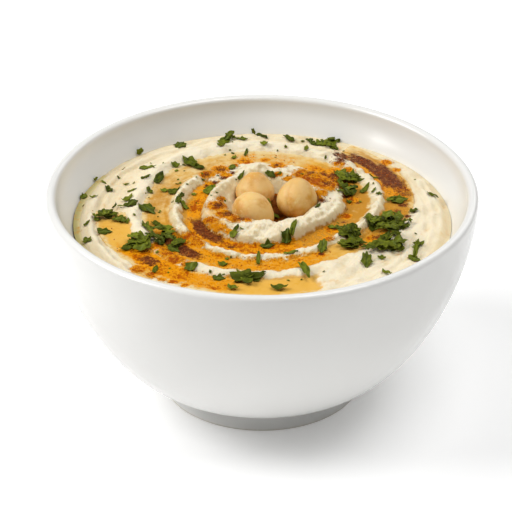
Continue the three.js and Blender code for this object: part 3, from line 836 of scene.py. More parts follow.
def add_mottle(tree, colour, other, features, low=0.35, high=0.65):
    """`features` is how many patches there are in a metre; `low` and `high` cut the mask."""
    node = add_node(
        tree, "ShaderNodeGroup", {"node_tree": MOTTLE},
        Colour=colour, Other_Colour=other, Features=features, Low=low, High=high,
    )
    return node.outputs


def add_bump(tree, shader, height, depth, strength=1.0):
    """`depth` is how deep the whole range of `height` is, in metres."""
    bump = add_node(tree, "ShaderNodeBump", Strength=strength, Distance=depth, Height=height)
    tree.links.new(bump.outputs[0], shader.inputs["Normal"])


def soften(shader, weight, radius, scale):
    """Let light into the surface a little way, as it goes into paste, skin and glaze."""
    shader.inputs["Subsurface Weight"].default_value = weight
    shader.inputs["Subsurface Radius"].default_value = radius
    shader.inputs["Subsurface Scale"].default_value = scale


# %% [markdown]
# ## Hummus
# The paste is a warm cream, palest on the crests. Lower down and on its steep banks it is
# painted darker and warmer, partly for the oil that soaks in there and partly as painted
# shade, and soaked patches are darker too. It is dull where it is dry and smoother under
# its film of oil. Ground chickpea skins leave it finely grainy.

# %% Hummus material
CREAM = (0.81, 0.72, 0.53, 1)
# cream for the lower paste: partly oil soaked in, partly painted shade
LOW_OILY_SHADED_CREAM = (0.76, 0.64, 0.42, 1)
SOAKED_CREAM = (0.72, 0.58, 0.36, 1)
# cream for steep banks: partly oilier paste, partly painted shade
FLANK_OILY_SHADED_CREAM = (0.66, 0.53, 0.30, 1)


def hummus_material():
    material, tree, shader = new_material("hummus_paste")
    height = add_node(tree, "ShaderNodeSeparateXYZ", Vector=object_place(tree)).outputs["Z"]
    # the paste is painted darker lower down, partly for soaked oil and partly as painted shade
    on_crest = ramp(tree, height, (GROOVE_LEVEL + 0.2) * MM, (GROOVE_LEVEL + 2.0) * MM)
    paste = blend_colours(tree, on_crest, LOW_OILY_SHADED_CREAM, CREAM)
    uneven = math_node(tree, "ADD", attribute(tree, "flank"), speckle(tree, object_place(tree), 420, 4.0))
    # steep banks get a darker cream: partly oilier paste, partly painted shade
    paste = blend_colours(tree, ramp(tree, uneven, 0.7, 1.7), paste, FLANK_OILY_SHADED_CREAM)
    patches = add_mottle(tree, paste, SOAKED_CREAM, 190, 0.5, 0.8)
    stains = add_seasoning(tree, patches["Colour"])
    tree.links.new(stains["Colour"], shader.inputs["Base Color"])
    dull = math_node(tree, "SUBTRACT", 0.58, math_node(tree, "MULTIPLY", stains["Wet"], 0.26))
    tree.links.new(dull, shader.inputs["Roughness"])
    powder = math_node(tree, "MULTIPLY", stains["Grains"], 1.2)
    grain = math_node(tree, "ADD", speckle(tree, object_place(tree), 1500, 4.0), powder)
    add_bump(tree, shader, grain, 0.3 * MM)
    soften(shader, 0.2, (1.0, 0.62, 0.3), 1.2 * MM)
    shader.inputs["Specular IOR Level"].default_value = 0.06
    return material


finish_piece(hummus, "hummus", hummus_material(), "hummus")

# %% [markdown]
# ## Glaze
# The bowl stays plain: bright white glaze with a very slight waviness from the kiln, and the
# dry, warmer clay of the foot's tread, where glaze would have stuck to the kiln shelf.

# %% Glaze material
def glaze_material():
    material, tree, shader = new_material("white_glaze")
    white = add_mottle(tree, (0.83, 0.825, 0.80, 1), (0.815, 0.81, 0.785, 1), 22)
    height = add_node(tree, "ShaderNodeSeparateXYZ", Vector=object_place(tree)).outputs["Z"]
    glazed = ramp(tree, height, 0.3 * MM, 1.1 * MM)
    clay = add_mottle(tree, (0.74, 0.71, 0.65, 1), (0.66, 0.62, 0.55, 1), 900)
    tree.links.new(blend_colours(tree, glazed, clay["Colour"], white["Colour"]), shader.inputs["Base Color"])
    smoother = math_node(tree, "MULTIPLY", glazed, 0.55)
    tree.links.new(math_node(tree, "SUBTRACT", 0.75, smoother), shader.inputs["Roughness"])
    add_bump(tree, shader, speckle(tree, object_place(tree), 60, 2.0), 0.12 * MM, 0.5)
    shader.inputs["Coat Weight"].default_value = 0.12
    shader.inputs["Coat Roughness"].default_value = 0.28
    return material


finish_piece(bowl, "glaze", glaze_material(), "bowl")

# %% [markdown]
# ## Oil
# Oil finds its own level, so each pool is flat and its shore is wherever the paste rises
# through it. A grid is laid along the groove at the oil's level, faces that would be buried
# deep in a bank are deleted, and Solidify gives the sheet its thickness. Levels are in
# millimetres above the bottom of the groove. A stretch of groove is (start, end, half width),
# two angles along it and millimetres across.

# %% Laying oil
SWIRL_OIL, CRATER_OIL, GUTTER_OIL = 0.85, -1.1, -0.5
BURIED = 0.7
SHEET = 0.5
SHORE_RISE, CLOT_RISE = 0.14, 0.12
OFF_WALL, OFF_CHICKPEA = 0.25, 0.8
FULL_DEPTH, DEEPEST_END, END_DIP = 1.6, 1.6, 1.8
INNER_TURNS, OUTER_TURN = (124, 780, 5.2), (893, 1010, 5.6)


def delete_faces(piece, marked):
    """Delete every face whose corners are all marked."""
    take(piece)
    bpy.ops.object.mode_set(mode="EDIT")
    bpy.ops.mesh.select_all(action="DESELECT")
    bpy.ops.object.mode_set(mode="OBJECT")
    for face in piece.data.polygons:
        face.select = all(marked[corner] for corner in face.vertices)
    bpy.ops.object.mode_set(mode="EDIT")
    bpy.ops.mesh.select_mode(type="FACE")
    bpy.ops.mesh.delete(type="FACE")
    bpy.ops.object.mode_set(mode="OBJECT")


def cut_oil(piece, level, ends=0.0, keep_off_peas=False):
    """Set every corner to the level, and delete what lies deep in the paste."""
    places = corners(piece)
    bank = paste_height(places[:, 0], places[:, 1])
    shore = SHORE_RISE * bell(bank, level, 0.35)
    clots = CLOT_RISE * cloud(places[:, 0], places[:, 1], 3.2, 31.0)
    places[:, 2] = GROOVE_LEVEL + level + shore + clots - ends
    move_corners(piece, places)
    buried = (bank > level + BURIED) | (ends > DEEPEST_END)
    if keep_off_peas:
        for chickpea in CHICKPEAS.values():
            centre = np.array(chickpea["centre"])
            reach = np.linalg.norm(places - centre, axis=1)
            buried |= reach < min(chickpea["radii"]) - OFF_CHICKPEA
    wall = inner_radius(GROOVE_LEVEL + level)
    buried |= np.hypot(places[:, 0], places[:, 1]) > wall - OFF_WALL
    delete_faces(piece, buried)
    places = corners(piece)
    bank = paste_height(places[:, 0], places[:, 1])
    paint(piece, "depth", (level - bank) / FULL_DEPTH)
    paint_seasoning(piece)
    bpy.ops.object.modifier_add(type="SOLIDIFY")
    piece.modifiers[-1].thickness = SHEET * MM
    piece.modifiers[-1].offset = -1
    bpy.ops.object.modifier_apply(modifier=piece.modifiers[-1].name)
    bpy.ops.object.shade_smooth_by_angle(angle=math.radians(40))


def groove_ribbon(name, start, end, half_width, step):
    """A strip along the groove between two angles, and how far its ends dip."""
    let_go()
    along = int((end - start) / step)
    across = max(4, int(2 * half_width / 0.4))
    bpy.ops.mesh.primitive_grid_add(x_subdivisions=along, y_subdivisions=across, size=2 * MM)
    piece = new_piece(name)
    places = corners(piece)
    angle = mix(start, end, (places[:, 0] + 1) / 2)
    radius = groove_radius(angle) - half_width * places[:, 1]
    x = SWIRL_X + radius * np.cos(np.radians(angle))
    y = SWIRL_Y + radius * np.sin(np.radians(angle))
    move_corners(piece, np.column_stack([x, y, 0 * x]))
    from_start = 1 - smoothstep(0, 16 + 5 * cloud(x, y, 4.0, 17.0), angle - start)
    from_end = 1 - smoothstep(0, 2.5, end - angle)
    return piece, END_DIP * np.maximum(from_start, from_end)


# %% [markdown]
# The oil in the groove lies in two stretches, a long one through the inner turns and a short
# one in the outer turn at the front left. Each dips into the paste at its ends, so no cut
# edge shows.

# %% Pour the groove's oil
inner_oil, inner_ends = groove_ribbon("oil_in_groove", *INNER_TURNS, 1.4)
cut_oil(inner_oil, SWIRL_OIL, inner_ends)
outer_oil, outer_ends = groove_ribbon("oil_in_pool", *OUTER_TURN, 0.8)
cut_oil(outer_oil, SWIRL_OIL, outer_ends)
for pool in (inner_oil, outer_oil):
    print(pool.name, len(pool.data.polygons), "faces")

# %% [markdown]
# The hollow's oil is a disc under the chickpeas, and the oil at the edge is a strip that
# follows the wall where the paste is sunk on the left.

# %% Pour the hollow and the edge
def flat_disc(name, radius, rings, sides):
    """A disc of rings, inset again and again and closed with a point in its middle."""
    let_go()
    bpy.ops.mesh.primitive_circle_add(vertices=sides, radius=radius * MM, fill_type="NGON")
    piece = new_piece(name)
    edit_all(piece)
    for ring in range(rings):
        bpy.ops.mesh.inset(thickness=radius * MM / (rings + 1))
    bpy.ops.mesh.poke()
    bpy.ops.object.mode_set(mode="OBJECT")
    return piece


crater_oil = flat_disc("oil_in_crater", radius=15.0, rings=30, sides=96)
move_corners(crater_oil, corners(crater_oil) + (CRATER_X, CRATER_Y, 0))
cut_oil(crater_oil, CRATER_OIL, keep_off_peas=True)


def gutter_ribbon(name, start, end, width):
    """A strip along the wall of the bowl between two bearings."""
    let_go()
    bpy.ops.mesh.primitive_grid_add(x_subdivisions=110, y_subdivisions=16, size=2 * MM)
    piece = new_piece(name)
    places = corners(piece)
    bearing = np.radians(mix(start, end, (places[:, 0] + 1) / 2))
    edge = float(inner_radius(GROOVE_LEVEL + GUTTER_OIL)) - 0.45
    radius = edge - width * (places[:, 1] + 1) / 2
    move_corners(piece, np.column_stack([radius * np.cos(bearing), radius * np.sin(bearing), 0 * radius]))
    return piece


edge_oil = gutter_ribbon("oil_at_edge", start=150, end=240, width=7)
cut_oil(edge_oil, GUTTER_OIL)
for pool in (crater_oil, edge_oil):
    print(pool.name, len(pool.data.polygons), "faces")

# %% [markdown]
# The oil is tinted by paprika and hardly clear, so it is an opaque layer, paler where it is
# shallow, with the same stains as the paste under it and roughest where powder floats on it.

# %% Oil materials
def oil_material(name, shallow, deep, speck):
    material, tree, shader = new_material(name)
    depth = ramp(tree, attribute(tree, "depth"), 0.05, 0.95)
    under = blend_colours(tree, depth, shallow, deep)
    patches = add_mottle(tree, under, speck, 520, 0.5, 0.72)
    stains = add_seasoning(tree, patches["Colour"])
    tree.links.new(stains["Colour"], shader.inputs["Base Color"])
    rough = math_node(tree, "MULTIPLY_ADD", stains["Grains"], 0.35, 0.2)
    tree.links.new(rough, shader.inputs["Roughness"])
    powder = math_node(tree, "MULTIPLY", stains["Grains"], 0.8)
    ripple = math_node(tree, "ADD", speckle(tree, object_place(tree), 260, 2.0), powder)
    add_bump(tree, shader, ripple, 0.2 * MM, 0.8)
    shader.inputs["Specular IOR Level"].default_value = 0.06
    return material


orange_oil = oil_material(
    "orange_oil", shallow=(0.72, 0.56, 0.28, 1), deep=(0.67, 0.40, 0.10, 1), speck=(0.64, 0.33, 0.055, 1)
)
dark_oil = oil_material(
    "dark_oil", shallow=(0.30, 0.075, 0.003, 1), deep=(0.085, 0.020, 0.002, 1), speck=(0.15, 0.04, 0.003, 1)
)
# The oil at the left edge lies in the shade of the wall: its dark olive colour is partly the oil's own and
# partly painted shade.
edge_oil_and_shade_look = oil_material(
    "thin_edge_oil_and_wall_shade", shallow=(0.66, 0.56, 0.28, 1), deep=(0.46, 0.40, 0.15, 1), speck=(0.60, 0.36, 0.10, 1)
)
finish_piece(inner_oil, "oil", orange_oil, "oil_swirl")
finish_piece(outer_oil, "oil", orange_oil, "oil_pool")
finish_piece(crater_oil, "oil", dark_oil, "oil_crater")
finish_piece(edge_oil, "oil", edge_oil_and_shade_look, "oil_edge")

# %% [markdown]
# ## Chickpeas
# A cooked chickpea has a thin wrinkled skin over two halves: a cleft runs up one side and
# ends under a small beak. Each starts as a ball whose corners are pushed out to the beak and
# in along the cleft, then it is turned and set in its place.

# %% Shape the chickpeas
BEAK, BEAK_SHARPNESS = 0.24, 6
CLEFT_DEPTH, CLEFT_WIDTH = 0.04, 0.09


def shape_chickpea(name, centre, radii, turn, tip, roll, seed):
    """A chickpea whose beak points to the bearing `turn` and up by `tip`, both in degrees."""
    let_go()
    bpy.ops.mesh.primitive_uv_sphere_add(segments=72, ring_count=48, radius=MM)
    piece = new_piece(name)
    way = corners(piece)
    way /= np.linalg.norm(way, axis=1)[:, None]
    x, y, z = way.T
    wave = 0.16 * np.sin(2.4 * y + seed)
    cleft = bell(x, wave, CLEFT_WIDTH) * smoothstep(-0.1, 0.5, z) * smoothstep(-0.95, -0.4, y)
    wrinkles = 0.02 * cloud(3 * x + seed, 3 * y + 2 * z, 1.9, seed)
    wrinkles = wrinkles + 0.006 * cloud(3 * y, 3 * z - x, 0.7, seed)
    stretch = 1 + BEAK * np.maximum(y, 0) ** BEAK_SHARPNESS - CLEFT_DEPTH * cleft + wrinkles
    rolled = np.array(Quaternion((0, 1, 0), math.radians(roll)).to_matrix())
    places = (way * stretch[:, None]) @ rolled.T * np.array(radii)
    bearing, rise = math.radians(turn), math.radians(tip)
    beak = Vector((math.cos(rise) * math.cos(bearing), math.cos(rise) * math.sin(bearing), math.sin(rise)))
    turned = np.array(Vector((0, 1, 0)).rotation_difference(beak).to_matrix())
    move_corners(piece, places @ turned.T + np.array(centre))
    paint(piece, "cleft", cleft)
    # The lower part is painted in oil colour: partly the oil the chickpea sits in, partly painted shade and
    # painted reflection of the oil beneath it.
    below = (centre[2] - corners(piece)[:, 2]) / radii[2]
    paint(piece, "oil_and_underside_shade", smoothstep(-0.35, 0.75, below + 0.15 * cloud(4 * x, 4 * y, 2.0, seed)))
    paint(piece, "beak", smoothstep(0.6, 1.0, y))
    take(piece)
    bpy.ops.object.shade_smooth()
    return piece


def chickpea_material():
    material, tree, shader = new_material("chickpea_skin")
    skin = add_mottle(tree, (0.80, 0.53, 0.20, 1), (0.66, 0.33, 0.06, 1), 190, 0.42, 0.72)
    freckles = add_mottle(tree, skin["Colour"], (0.80, 0.57, 0.26, 1), 900, 0.55, 0.75)
    # painted shade along the cleft: the crease is painted darker
    cleft_shade = math_node(tree, "MULTIPLY", attribute(tree, "cleft"), 0.3)
    colour = blend_colours(tree, cleft_shade, freckles["Colour"], (0.56, 0.27, 0.05, 1))
    pale_tip = math_node(tree, "MULTIPLY", attribute(tree, "beak"), 0.4)
    colour = blend_colours(tree, pale_tip, colour, (0.70, 0.42, 0.14, 1))
    # lower part: oil colour plus painted shade and painted reflection of the oil
    oil_and_underside_shade = math_node(tree, "MULTIPLY", attribute(tree, "oil_and_underside_shade"), 0.95)
    colour = blend_colours(tree, oil_and_underside_shade, colour, (0.64, 0.25, 0.012, 1))
    tree.links.new(colour, shader.inputs["Base Color"])
    shader.inputs["Specular IOR Level"].default_value = 0.18
    shader.inputs["Roughness"].default_value = 0.4
    add_bump(tree, shader, skin["Height"], 0.3 * MM, 0.7)
    soften(shader, 0.35, (1.0, 0.5, 0.2), 1.8 * MM)
    return material


chickpea_skin = chickpea_material()
for seed, (name, sizes) in enumerate(CHICKPEAS.items()):
    chickpea = shape_chickpea(name + "_skin", seed=seed + 2.0, **sizes)
    finish_piece(chickpea, "chickpea", chickpea_skin, name)

# %% [markdown]
# ## Parsley
# The parsley was chopped by hand, so hardly two bits are alike: torn leaflets with teeth,
# square chips, slivers, and stalks that curl. A few kinds are modelled, each from a disc
# that is inset into rings, pushed out to its outline and ruffled. Every bit on the paste is
# a copy of one of them, stretched and bent its own way and laid on what is under it.

# %% Leaf kinds
def leaf_blank(name, sides, rings, outline, ruffle):
    """A leaf about two units across, for copies to stretch."""
    blank = flat_disc(name, 1.0, rings, sides)
    places = corners(blank)
    reach = np.hypot(places[:, 0], places[:, 1])
    bearing = np.arctan2(places[:, 1], places[:, 0])
    reach = reach * outline(bearing)
    x, y = reach * np.cos(bearing), reach * np.sin(bearing)
    move_corners(blank, np.column_stack([x, y, ruffle(x, y)]))
    take(blank)
    bpy.ops.object.shade_smooth()
    return blank


def toothed(tips, notch):
    """An outline that runs in straight torn edges from each tip to a notch and out again."""

    def edge(bearing):
        place = (bearing / (2 * math.pi)) % 1 * len(tips)
        tip = np.array(tips)[np.round(place).astype(int) % len(tips)]
        from_tip = 2 * np.abs(place - np.round(place))
        return mix(tip, notch, from_tip**0.8)

    return edge


def veined(x, y):
    return 0.10 * np.cos(5 * x) * np.cos(4 * y) - 0.14 * bell(y, 0, 0.16) + 0.10 * np.abs(y)


def cupped(x, y):
    return 0.28 * (x**2 + y**2) + 0.08 * np.sin(6 * x + 2 * y)


def crinkled(x, y):
    return 0.13 * np.sin(5 * x + 1) * np.cos(6 * y) + 0.12 * y**2


SEVEN_TEETH = [1.0, 0.8, 0.95, 0.75, 0.8, 0.95, 0.85]
LEAF_KINDS = {
    "toothed": leaf_blank("leaf_toothed", 42, 4, toothed(SEVEN_TEETH, 0.62), veined),
    "fan": leaf_blank("leaf_fan", 40, 4, toothed([1.0, 0.9, 1.0, 0.85, 0.7], 0.62), crinkled),
    "star": leaf_blank("leaf_star", 40, 4, toothed([1.0, 0.7, 0.85, 0.65, 0.95], 0.42), veined),
    "chip": leaf_blank("leaf_chip", 20, 2, toothed([1.0, 0.85, 1.0, 0.75, 0.9], 0.72), cupped),
    "torn": leaf_blank("leaf_torn", 30, 3, toothed([1.0, 0.85, 0.95, 1.0, 0.8], 0.7), crinkled),
}
print("kinds of leaf:", ", ".join(LEAF_KINDS))

# %% [markdown]
# A bit of leaf doesn't float or sink: it lies on the paste, the oil or a chickpea. `ground`
# is the height of whatever is uppermost at a place. In the outer turn only the part of the
# oil that is level counts, and not its two ends, which dip into the paste.

# %% What a leaf lies on
LEVEL_OIL = (INNER_TURNS, (896, 1004, OUTER_TURN[2]))
NO_OIL = -9.0
LEVEL_HOLLOW_RADIUS = 14
GUTTER_START = 50
CHICKPEA_RADIUS = 6.1


def oil_level(x, y):
    """The height of the oil at each place, or far below the paste where there is none."""
    distance = np.hypot(x - SWIRL_X, y - SWIRL_Y)
    bearing = bearing_of(x - SWIRL_X, y - SWIRL_Y)
    level = np.full_like(distance, NO_OIL)
    for start, end, half_width in LEVEL_OIL:
        for turn in range(3):
            angle = bearing + 360 * turn
            is_in = np.abs(distance - groove_radius(angle)) < half_width
            is_in &= (angle > start) & (angle < end)
            level = np.where(is_in, SWIRL_OIL, level)
    in_crater = np.hypot(x - CRATER_X, y - CRATER_Y) < LEVEL_HOLLOW_RADIUS
    level = np.where(in_crater, np.maximum(level, CRATER_OIL), level)
    in_gutter = (gutter_share(bearing_of(x, y)) > 0.3) & (np.hypot(x, y) > GUTTER_START)
    return np.where(in_gutter, np.maximum(level, GUTTER_OIL), level)


def ground(x, y):
    height = np.maximum(relief(x, y) + roughness_of_paste(x, y), oil_level(x, y))
    for chickpea in CHICKPEAS.values():
        centre_x, centre_y, centre_z = chickpea["centre"]
        off = np.hypot(x - centre_x, y - centre_y)
        top = centre_z - GROOVE_LEVEL + np.sqrt(np.maximum(CHICKPEA_RADIUS**2 - off**2, 0))
        height = np.where(off < CHICKPEA_RADIUS, np.maximum(height, top), height)
    return height


hollow_top = ground(np.array([CRATER_X]), np.array([CRATER_Y]))[0]
print(f"uppermost in the middle of the hollow: {hollow_top:.1f} mm")

# %% [markdown]
# A leaf bends to what is under it, but only partly, so it bridges small dips. It's tilted and
# curled by its own amounts, and a stalk can bow to one side. Where a leaf would poke through
# the wall of the bowl, it leans on the wall instead.

# %% Laying leaves
LEAF_THICKNESS = 0.14
LYING_GAP, LEAST_GAP, GAP_TO_WALL = 0.12, 0.1, 0.35
FOLLOWS_GROUND = 0.55
LEANS_UP = 0.8
PARSLEY_RANDOM = random.Random(11)
leaf_copies = []


def lay_leaf(kind, x, y, length, slim, turn, tilt=0.0, curl=0.0, lift=0.0, bow=0.0):
    """Copy a kind of leaf, stretch and bend the copy, and lay it at (x, y)."""
    blank = LEAF_KINDS[kind]
    copy = blank.copy()
    copy.data = blank.data.copy()
    bpy.context.collection.objects.link(copy)
    local = corners(copy)
    along, across = local[:, 0] * length / 2, local[:, 1] * length / 2 * slim
    bearing = math.radians(turn)
    lean = tilt * (along + length / 2) + curl * along**2 / length
    across = across + bow * (along**2 / length)
    place_x = x + along * math.cos(bearing) - across * math.sin(bearing)
    place_y = y + along * math.sin(bearing) + across * math.cos(bearing)
    floor = ground(place_x, place_y)
    middle = float(ground(np.array([x]), np.array([y]))[0])
    bridge = FOLLOWS_GROUND * floor + (1 - FOLLOWS_GROUND) * middle
    height = np.maximum(floor, bridge) + LYING_GAP + lift + lean
    height = height + local[:, 2] * length / 2 * min(1, 0.4 + slim)
    height = np.maximum(height, floor + LEAST_GAP)
    wall = inner_radius(GROOVE_LEVEL + height) - GAP_TO_WALL
    reach = np.hypot(place_x, place_y)
    over = np.maximum(reach - wall, 0)
    place_x, place_y = place_x * (1 - over / reach), place_y * (1 - over / reach)
    height = height + LEANS_UP * over
    move_corners(copy, np.column_stack([place_x, place_y, GROOVE_LEVEL + height]))
    # tone: a random dark or light green, plus a painted highlight where the ruffle stands up
    tone = PARSLEY_RANDOM.random()
    paint(copy, "tone", np.clip(tone * 0.75 + 0.25 * (local[:, 2] > 0.03), 0, 1))
    paint(copy, "rib", bell(local[:, 1] * slim, 0, 0.07) * (kind in ("toothed", "fan")))
    leaf_copies.append(copy)


def lay_seen(kind, x, seen_y, length, slim=0.7, turn=0.0, **bends):
    """Lay a leaf where someone sees (x, seen_y) who looks down from the front."""
    lay_leaf(kind, *seat(x, seen_y), length, slim, turn, **bends)


def lay_cluster(x, seen_y, spread_x, spread_y, count, length):
    """Several leaflets that overlap, as where a pinch of parsley landed."""
    pick = PARSLEY_RANDOM
    for number in range(count):
        bearing, reach = pick.uniform(0, 2 * math.pi), math.sqrt(pick.random())
        lay_seen(
            pick.choice(["toothed", "fan", "torn", "star"]),
            x + spread_x * reach * math.cos(bearing),
            seen_y + spread_y * reach * math.sin(bearing),
            length * pick.uniform(0.7, 1.35), pick.uniform(0.5, 0.95), pick.uniform(0, 360),
            tilt=pick.uniform(-0.1, 0.28), curl=pick.uniform(-0.1, 0.35), lift=0.16 * number,
        )


# %% [markdown]
# The big leaves, the clusters and the stalks have their own places. The small chips between
# them are many, and only how thickly they fell is given for each part of the bowl. The rows
# hold, in millimetres and degrees:
#
# - big leaves: (kind, x, seen y, length, width as a share of the length, turn)
# - clusters: (x, seen y, spread across, spread up, how many, length)
# - chips: (x, seen y, spread across, spread up, how many)

# %% Where the parsley fell
LEAF_GROWTH, LEAF_WIDENING = 1.18, 1.15
CHIPS_WITHIN = 55
BIG_LEAVES = [
    ("torn", -12, 49.5, 5.0, 0.7, 60), ("fan", -6.3, 51.8, 3.4, 0.8, 20),
    ("chip", -13, 47, 2.6, 0.8, 0), ("toothed", -26, 47.5, 5.4, 0.7, 70),
    ("chip", -39.3, 41.5, 3.0, 0.9, 30), ("chip", 0.5, 48.3, 2.4, 0.8, 0),
    ("torn", 8.7, 51.5, 5.6, 0.38, -55), ("toothed", 15.2, 51, 4.4, 0.5, -80),
    ("toothed", 16.5, 48.6, 3.4, 0.6, -30), ("fan", 21.2, 49.3, 6.6, 0.72, -60),
    ("toothed", 22.8, 45.5, 4.0, 0.6, -50), ("torn", 24, 50, 3.4, 0.5, 40),
    ("chip", 14, 44.6, 2.6, 0.5, 80), ("torn", -5, 40.7, 4.6, 0.22, 80),
    ("toothed", -36, 32, 5.8, 0.36, 0), ("torn", -22.5, 34, 6.4, 0.62, -70),
    ("torn", -19.8, 30.5, 4.6, 0.55, -40), ("chip", -27, 33, 2.6, 0.9, 20),
    ("torn", -31.8, 24, 6.8, 0.38, 75), ("torn", -27, 15, 3.8, 0.9, 10),
    ("chip", -30, 15.2, 2.6, 0.7, 10), ("chip", -34.5, 16.2, 3.0, 0.55, -60),
    ("torn", -40, 17, 3.0, 0.35, 20), ("chip", -42, 21, 2.0, 0.3, 5),
    ("torn", -47, 17.5, 4.2, 0.42, -62), ("torn", -36, 26, 4.2, 0.3, 50),
    ("chip", -52, 22.4, 2.4, 0.5, 60), ("torn", -49, 22.6, 2.8, 0.3, -50),
    ("fan", -54.8, 11, 3.4, 0.8, 70), ("chip", -51.5, 12.8, 2.6, 0.5, 0),
    ("chip", -41, 11.3, 3.4, 0.8, 45), ("fan", -39.6, 8.6, 4.4, 0.8, 40),
    ("toothed", -34.9, 4.2, 7.6, 0.55, -50), ("torn", -52.6, -3.8, 2.6, 0.4, 50),
    ("fan", -52, -15.4, 3.2, 0.8, -30), ("fan", -47.2, -10.2, 4.4, 0.85, 0),
    ("torn", -25.3, 10.4, 4.8, 0.36, 80), ("torn", -23.6, 6.6, 4.4, 0.36, -65),
    ("torn", -16, 16, 5.0, 0.62, 55), ("torn", -24.3, 14, 2.2, 0.5, 60),
    ("star", -5, -37.5, 10.5, 0.62, 5), ("star", -5.5, -34.6, 7.6, 0.5, 115),
    ("star", -2.5, -36.6, 7.0, 0.5, 25), ("fan", -12.6, -37.8, 3.6, 0.8, 0),
    ("chip", -8.5, -44, 3.6, 0.55, -25), ("chip", 4.8, -44.2, 4.8, 0.5, 0),
    ("fan", -20.4, -29.4, 4.6, 0.85, 70), ("chip", -11.5, -29.8, 2.8, 0.8, 0),
    ("torn", -31, -33, 4.4, 0.35, 80), ("torn", -1, -26.4, 5.6, 0.22, 88),
    ("fan", 1.6, -19.6, 4.2, 0.6, 20), ("torn", 8.4, -21, 4.4, 0.36, 15),
    ("fan", 7.4, -13.6, 4.0, 0.8, 80), ("torn", 9.4, -6, 7.4, 0.22, 78),
    ("torn", -7.6, -7, 3.2, 0.45, 70), ("chip", -8.4, -10.5, 2.6, 0.7, 0),
    ("torn", 12.4, -30.6, 9.6, 0.24, -75), ("toothed", 17.9, -18.4, 6.0, 0.45, 80),
    ("toothed", 30.6, -27, 7.6, 0.42, 88), ("torn", 45.4, -20, 9.4, 0.16, 80),
    ("fan", 44.4, -25.4, 4.0, 0.7, -20), ("torn", 46.8, -15.6, 3.6, 0.5, 50),
    ("chip", 36, -33.6, 3.2, 0.5, -30), ("fan", 41.6, 9, 5.4, 0.8, 10),
    ("chip", 45.8, 3.4, 3.2, 0.6, -40), ("torn", 31.6, 17, 5.2, 0.36, 60),
    ("torn", 34.2, 17.4, 2.6, 0.3, 60), ("torn", 34.6, 25.6, 3.0, 0.25, -10),
    ("chip", 35.8, 15, 1.8, 0.9, 0), ("torn", 2.6, 27.8, 3.4, 0.6, -30),
    ("torn", -6.4, 26.2, 3.6, 0.32, 60), ("torn", -9.2, 32.4, 3.8, 0.5, 70),
    ("chip", -8.8, 37.2, 2.2, 0.6, 60), ("torn", 52.2, 14, 4.6, 0.3, -50),
    ("torn", 16.8, 7.2, 3.8, 0.32, 68), ("torn", 3.6, -1.6, 4.8, 0.4, -50),
    ("chip", 26.6, 8.2, 1.8, 0.8, 0), ("torn", 20, 39, 1.8, 0.4, 80), ("chip", 35, -24.5, 2.4, 0.7, 0),
    ("chip", -20.8, 13, 1.6, 0.7, 0), ("chip", -40, -21, 4.2, 0.6, 50),
]
CLUSTERS = [
    (20.8, 48.6, 2.8, 2.6, 5, 4.0), (25.5, 23, 3.4, 3.8, 11, 4.8), (26.5, 16.5, 2.6, 3.2, 8, 4.4),
    (38.5, -8, 5.6, 4.6, 20, 5.2), (38, -17, 3.8, 3.4, 11, 5.2), (42, -4.5, 2.8, 2.8, 6, 4.4),
    (33, -4.5, 2.4, 3.2, 5, 4.6), (26, -12, 3.0, 5.0, 10, 5.0), (29, -18.5, 5.2, 2.2, 11, 5.0),
    (22.6, -8, 2.4, 1.4, 3, 4.4), (-37, -18.5, 3.6, 3.6, 11, 5.6), (-30, -13.5, 3.4, 4.6, 12, 5.0),
    (-26, -18.5, 2.6, 2.4, 7, 4.4), (-33.6, -6.2, 2.2, 2.4, 4, 4.4), (-47, -0.6, 3.6, 2.2, 9, 4.2),
    (-42.6, -2.4, 2.2, 1.8, 4, 4.0), (-10.5, 52.6, 2.6, 2.4, 5, 3.6), (-5.4, -36.6, 3.0, 1.8, 3, 4.6),
    (45.8, -16.8, 1.2, 1.6, 4, 2.6), (41, 8.6, 2.2, 2.2, 5, 3.8),
]
CHIP_PLACES = [
    (-38, 14, 17, 24, 26), (-22, 24, 12, 14, 12), (8, 44, 22, 8, 10), (-6, -30, 26, 10, 14),
    (34, 4, 14, 24, 20), (2, 6, 26, 24, 12),
]
print(len(BIG_LEAVES), "big leaves,", len(CLUSTERS), "clusters")

# %% Lay the parsley
for kind, x, seen_y, length, slim, turn in BIG_LEAVES:
    curve = PARSLEY_RANDOM.uniform(0.05, 0.3)
    tip_up = PARSLEY_RANDOM.uniform(-0.05, 0.12)
    width = min(1, LEAF_WIDENING * slim)
    lay_seen(kind, x, seen_y, LEAF_GROWTH * length, width, turn, curl=curve, tilt=tip_up)
lay_seen("torn", -44.6, 6.2, 4.6, 0.2, 75, bow=0.5)
lay_seen("torn", -42.2, 6.3, 4.4, 0.16, 0)
lay_seen("torn", -0.2, 54.0, 5.6, 0.5, -40, curl=0.2)
lay_seen("torn", -2.8, 56.6, 3.4, 0.42, -70, curl=0.1)
for cluster in CLUSTERS:
    lay_cluster(*cluster)
for x, seen_y, spread_x, spread_y, count in CHIP_PLACES:
    for number in range(count):
        chip_x = x + spread_x * PARSLEY_RANDOM.uniform(-1, 1)
        chip_y = seen_y + spread_y * PARSLEY_RANDOM.uniform(-1, 1)
        if math.hypot(chip_x, chip_y) < CHIPS_WITHIN:
            size = PARSLEY_RANDOM.uniform(0.6, 1.5)
            slim = PARSLEY_RANDOM.uniform(0.35, 0.9)
            turn = PARSLEY_RANDOM.uniform(0, 180)
            lay_seen("chip", chip_x, chip_y, size, slim, turn)

take(*leaf_copies)
bpy.ops.object.join()
parsley = bpy.context.object
parsley.name = "parsley"
bpy.ops.object.modifier_add(type="SOLIDIFY")
parsley.modifiers[-1].thickness = LEAF_THICKNESS * MM
parsley.modifiers[-1].offset = 1
bpy.ops.object.modifier_apply(modifier=parsley.modifiers[-1].name)
take(*LEAF_KINDS.values())
bpy.ops.object.delete()
print(len(leaf_copies), "bits of parsley")
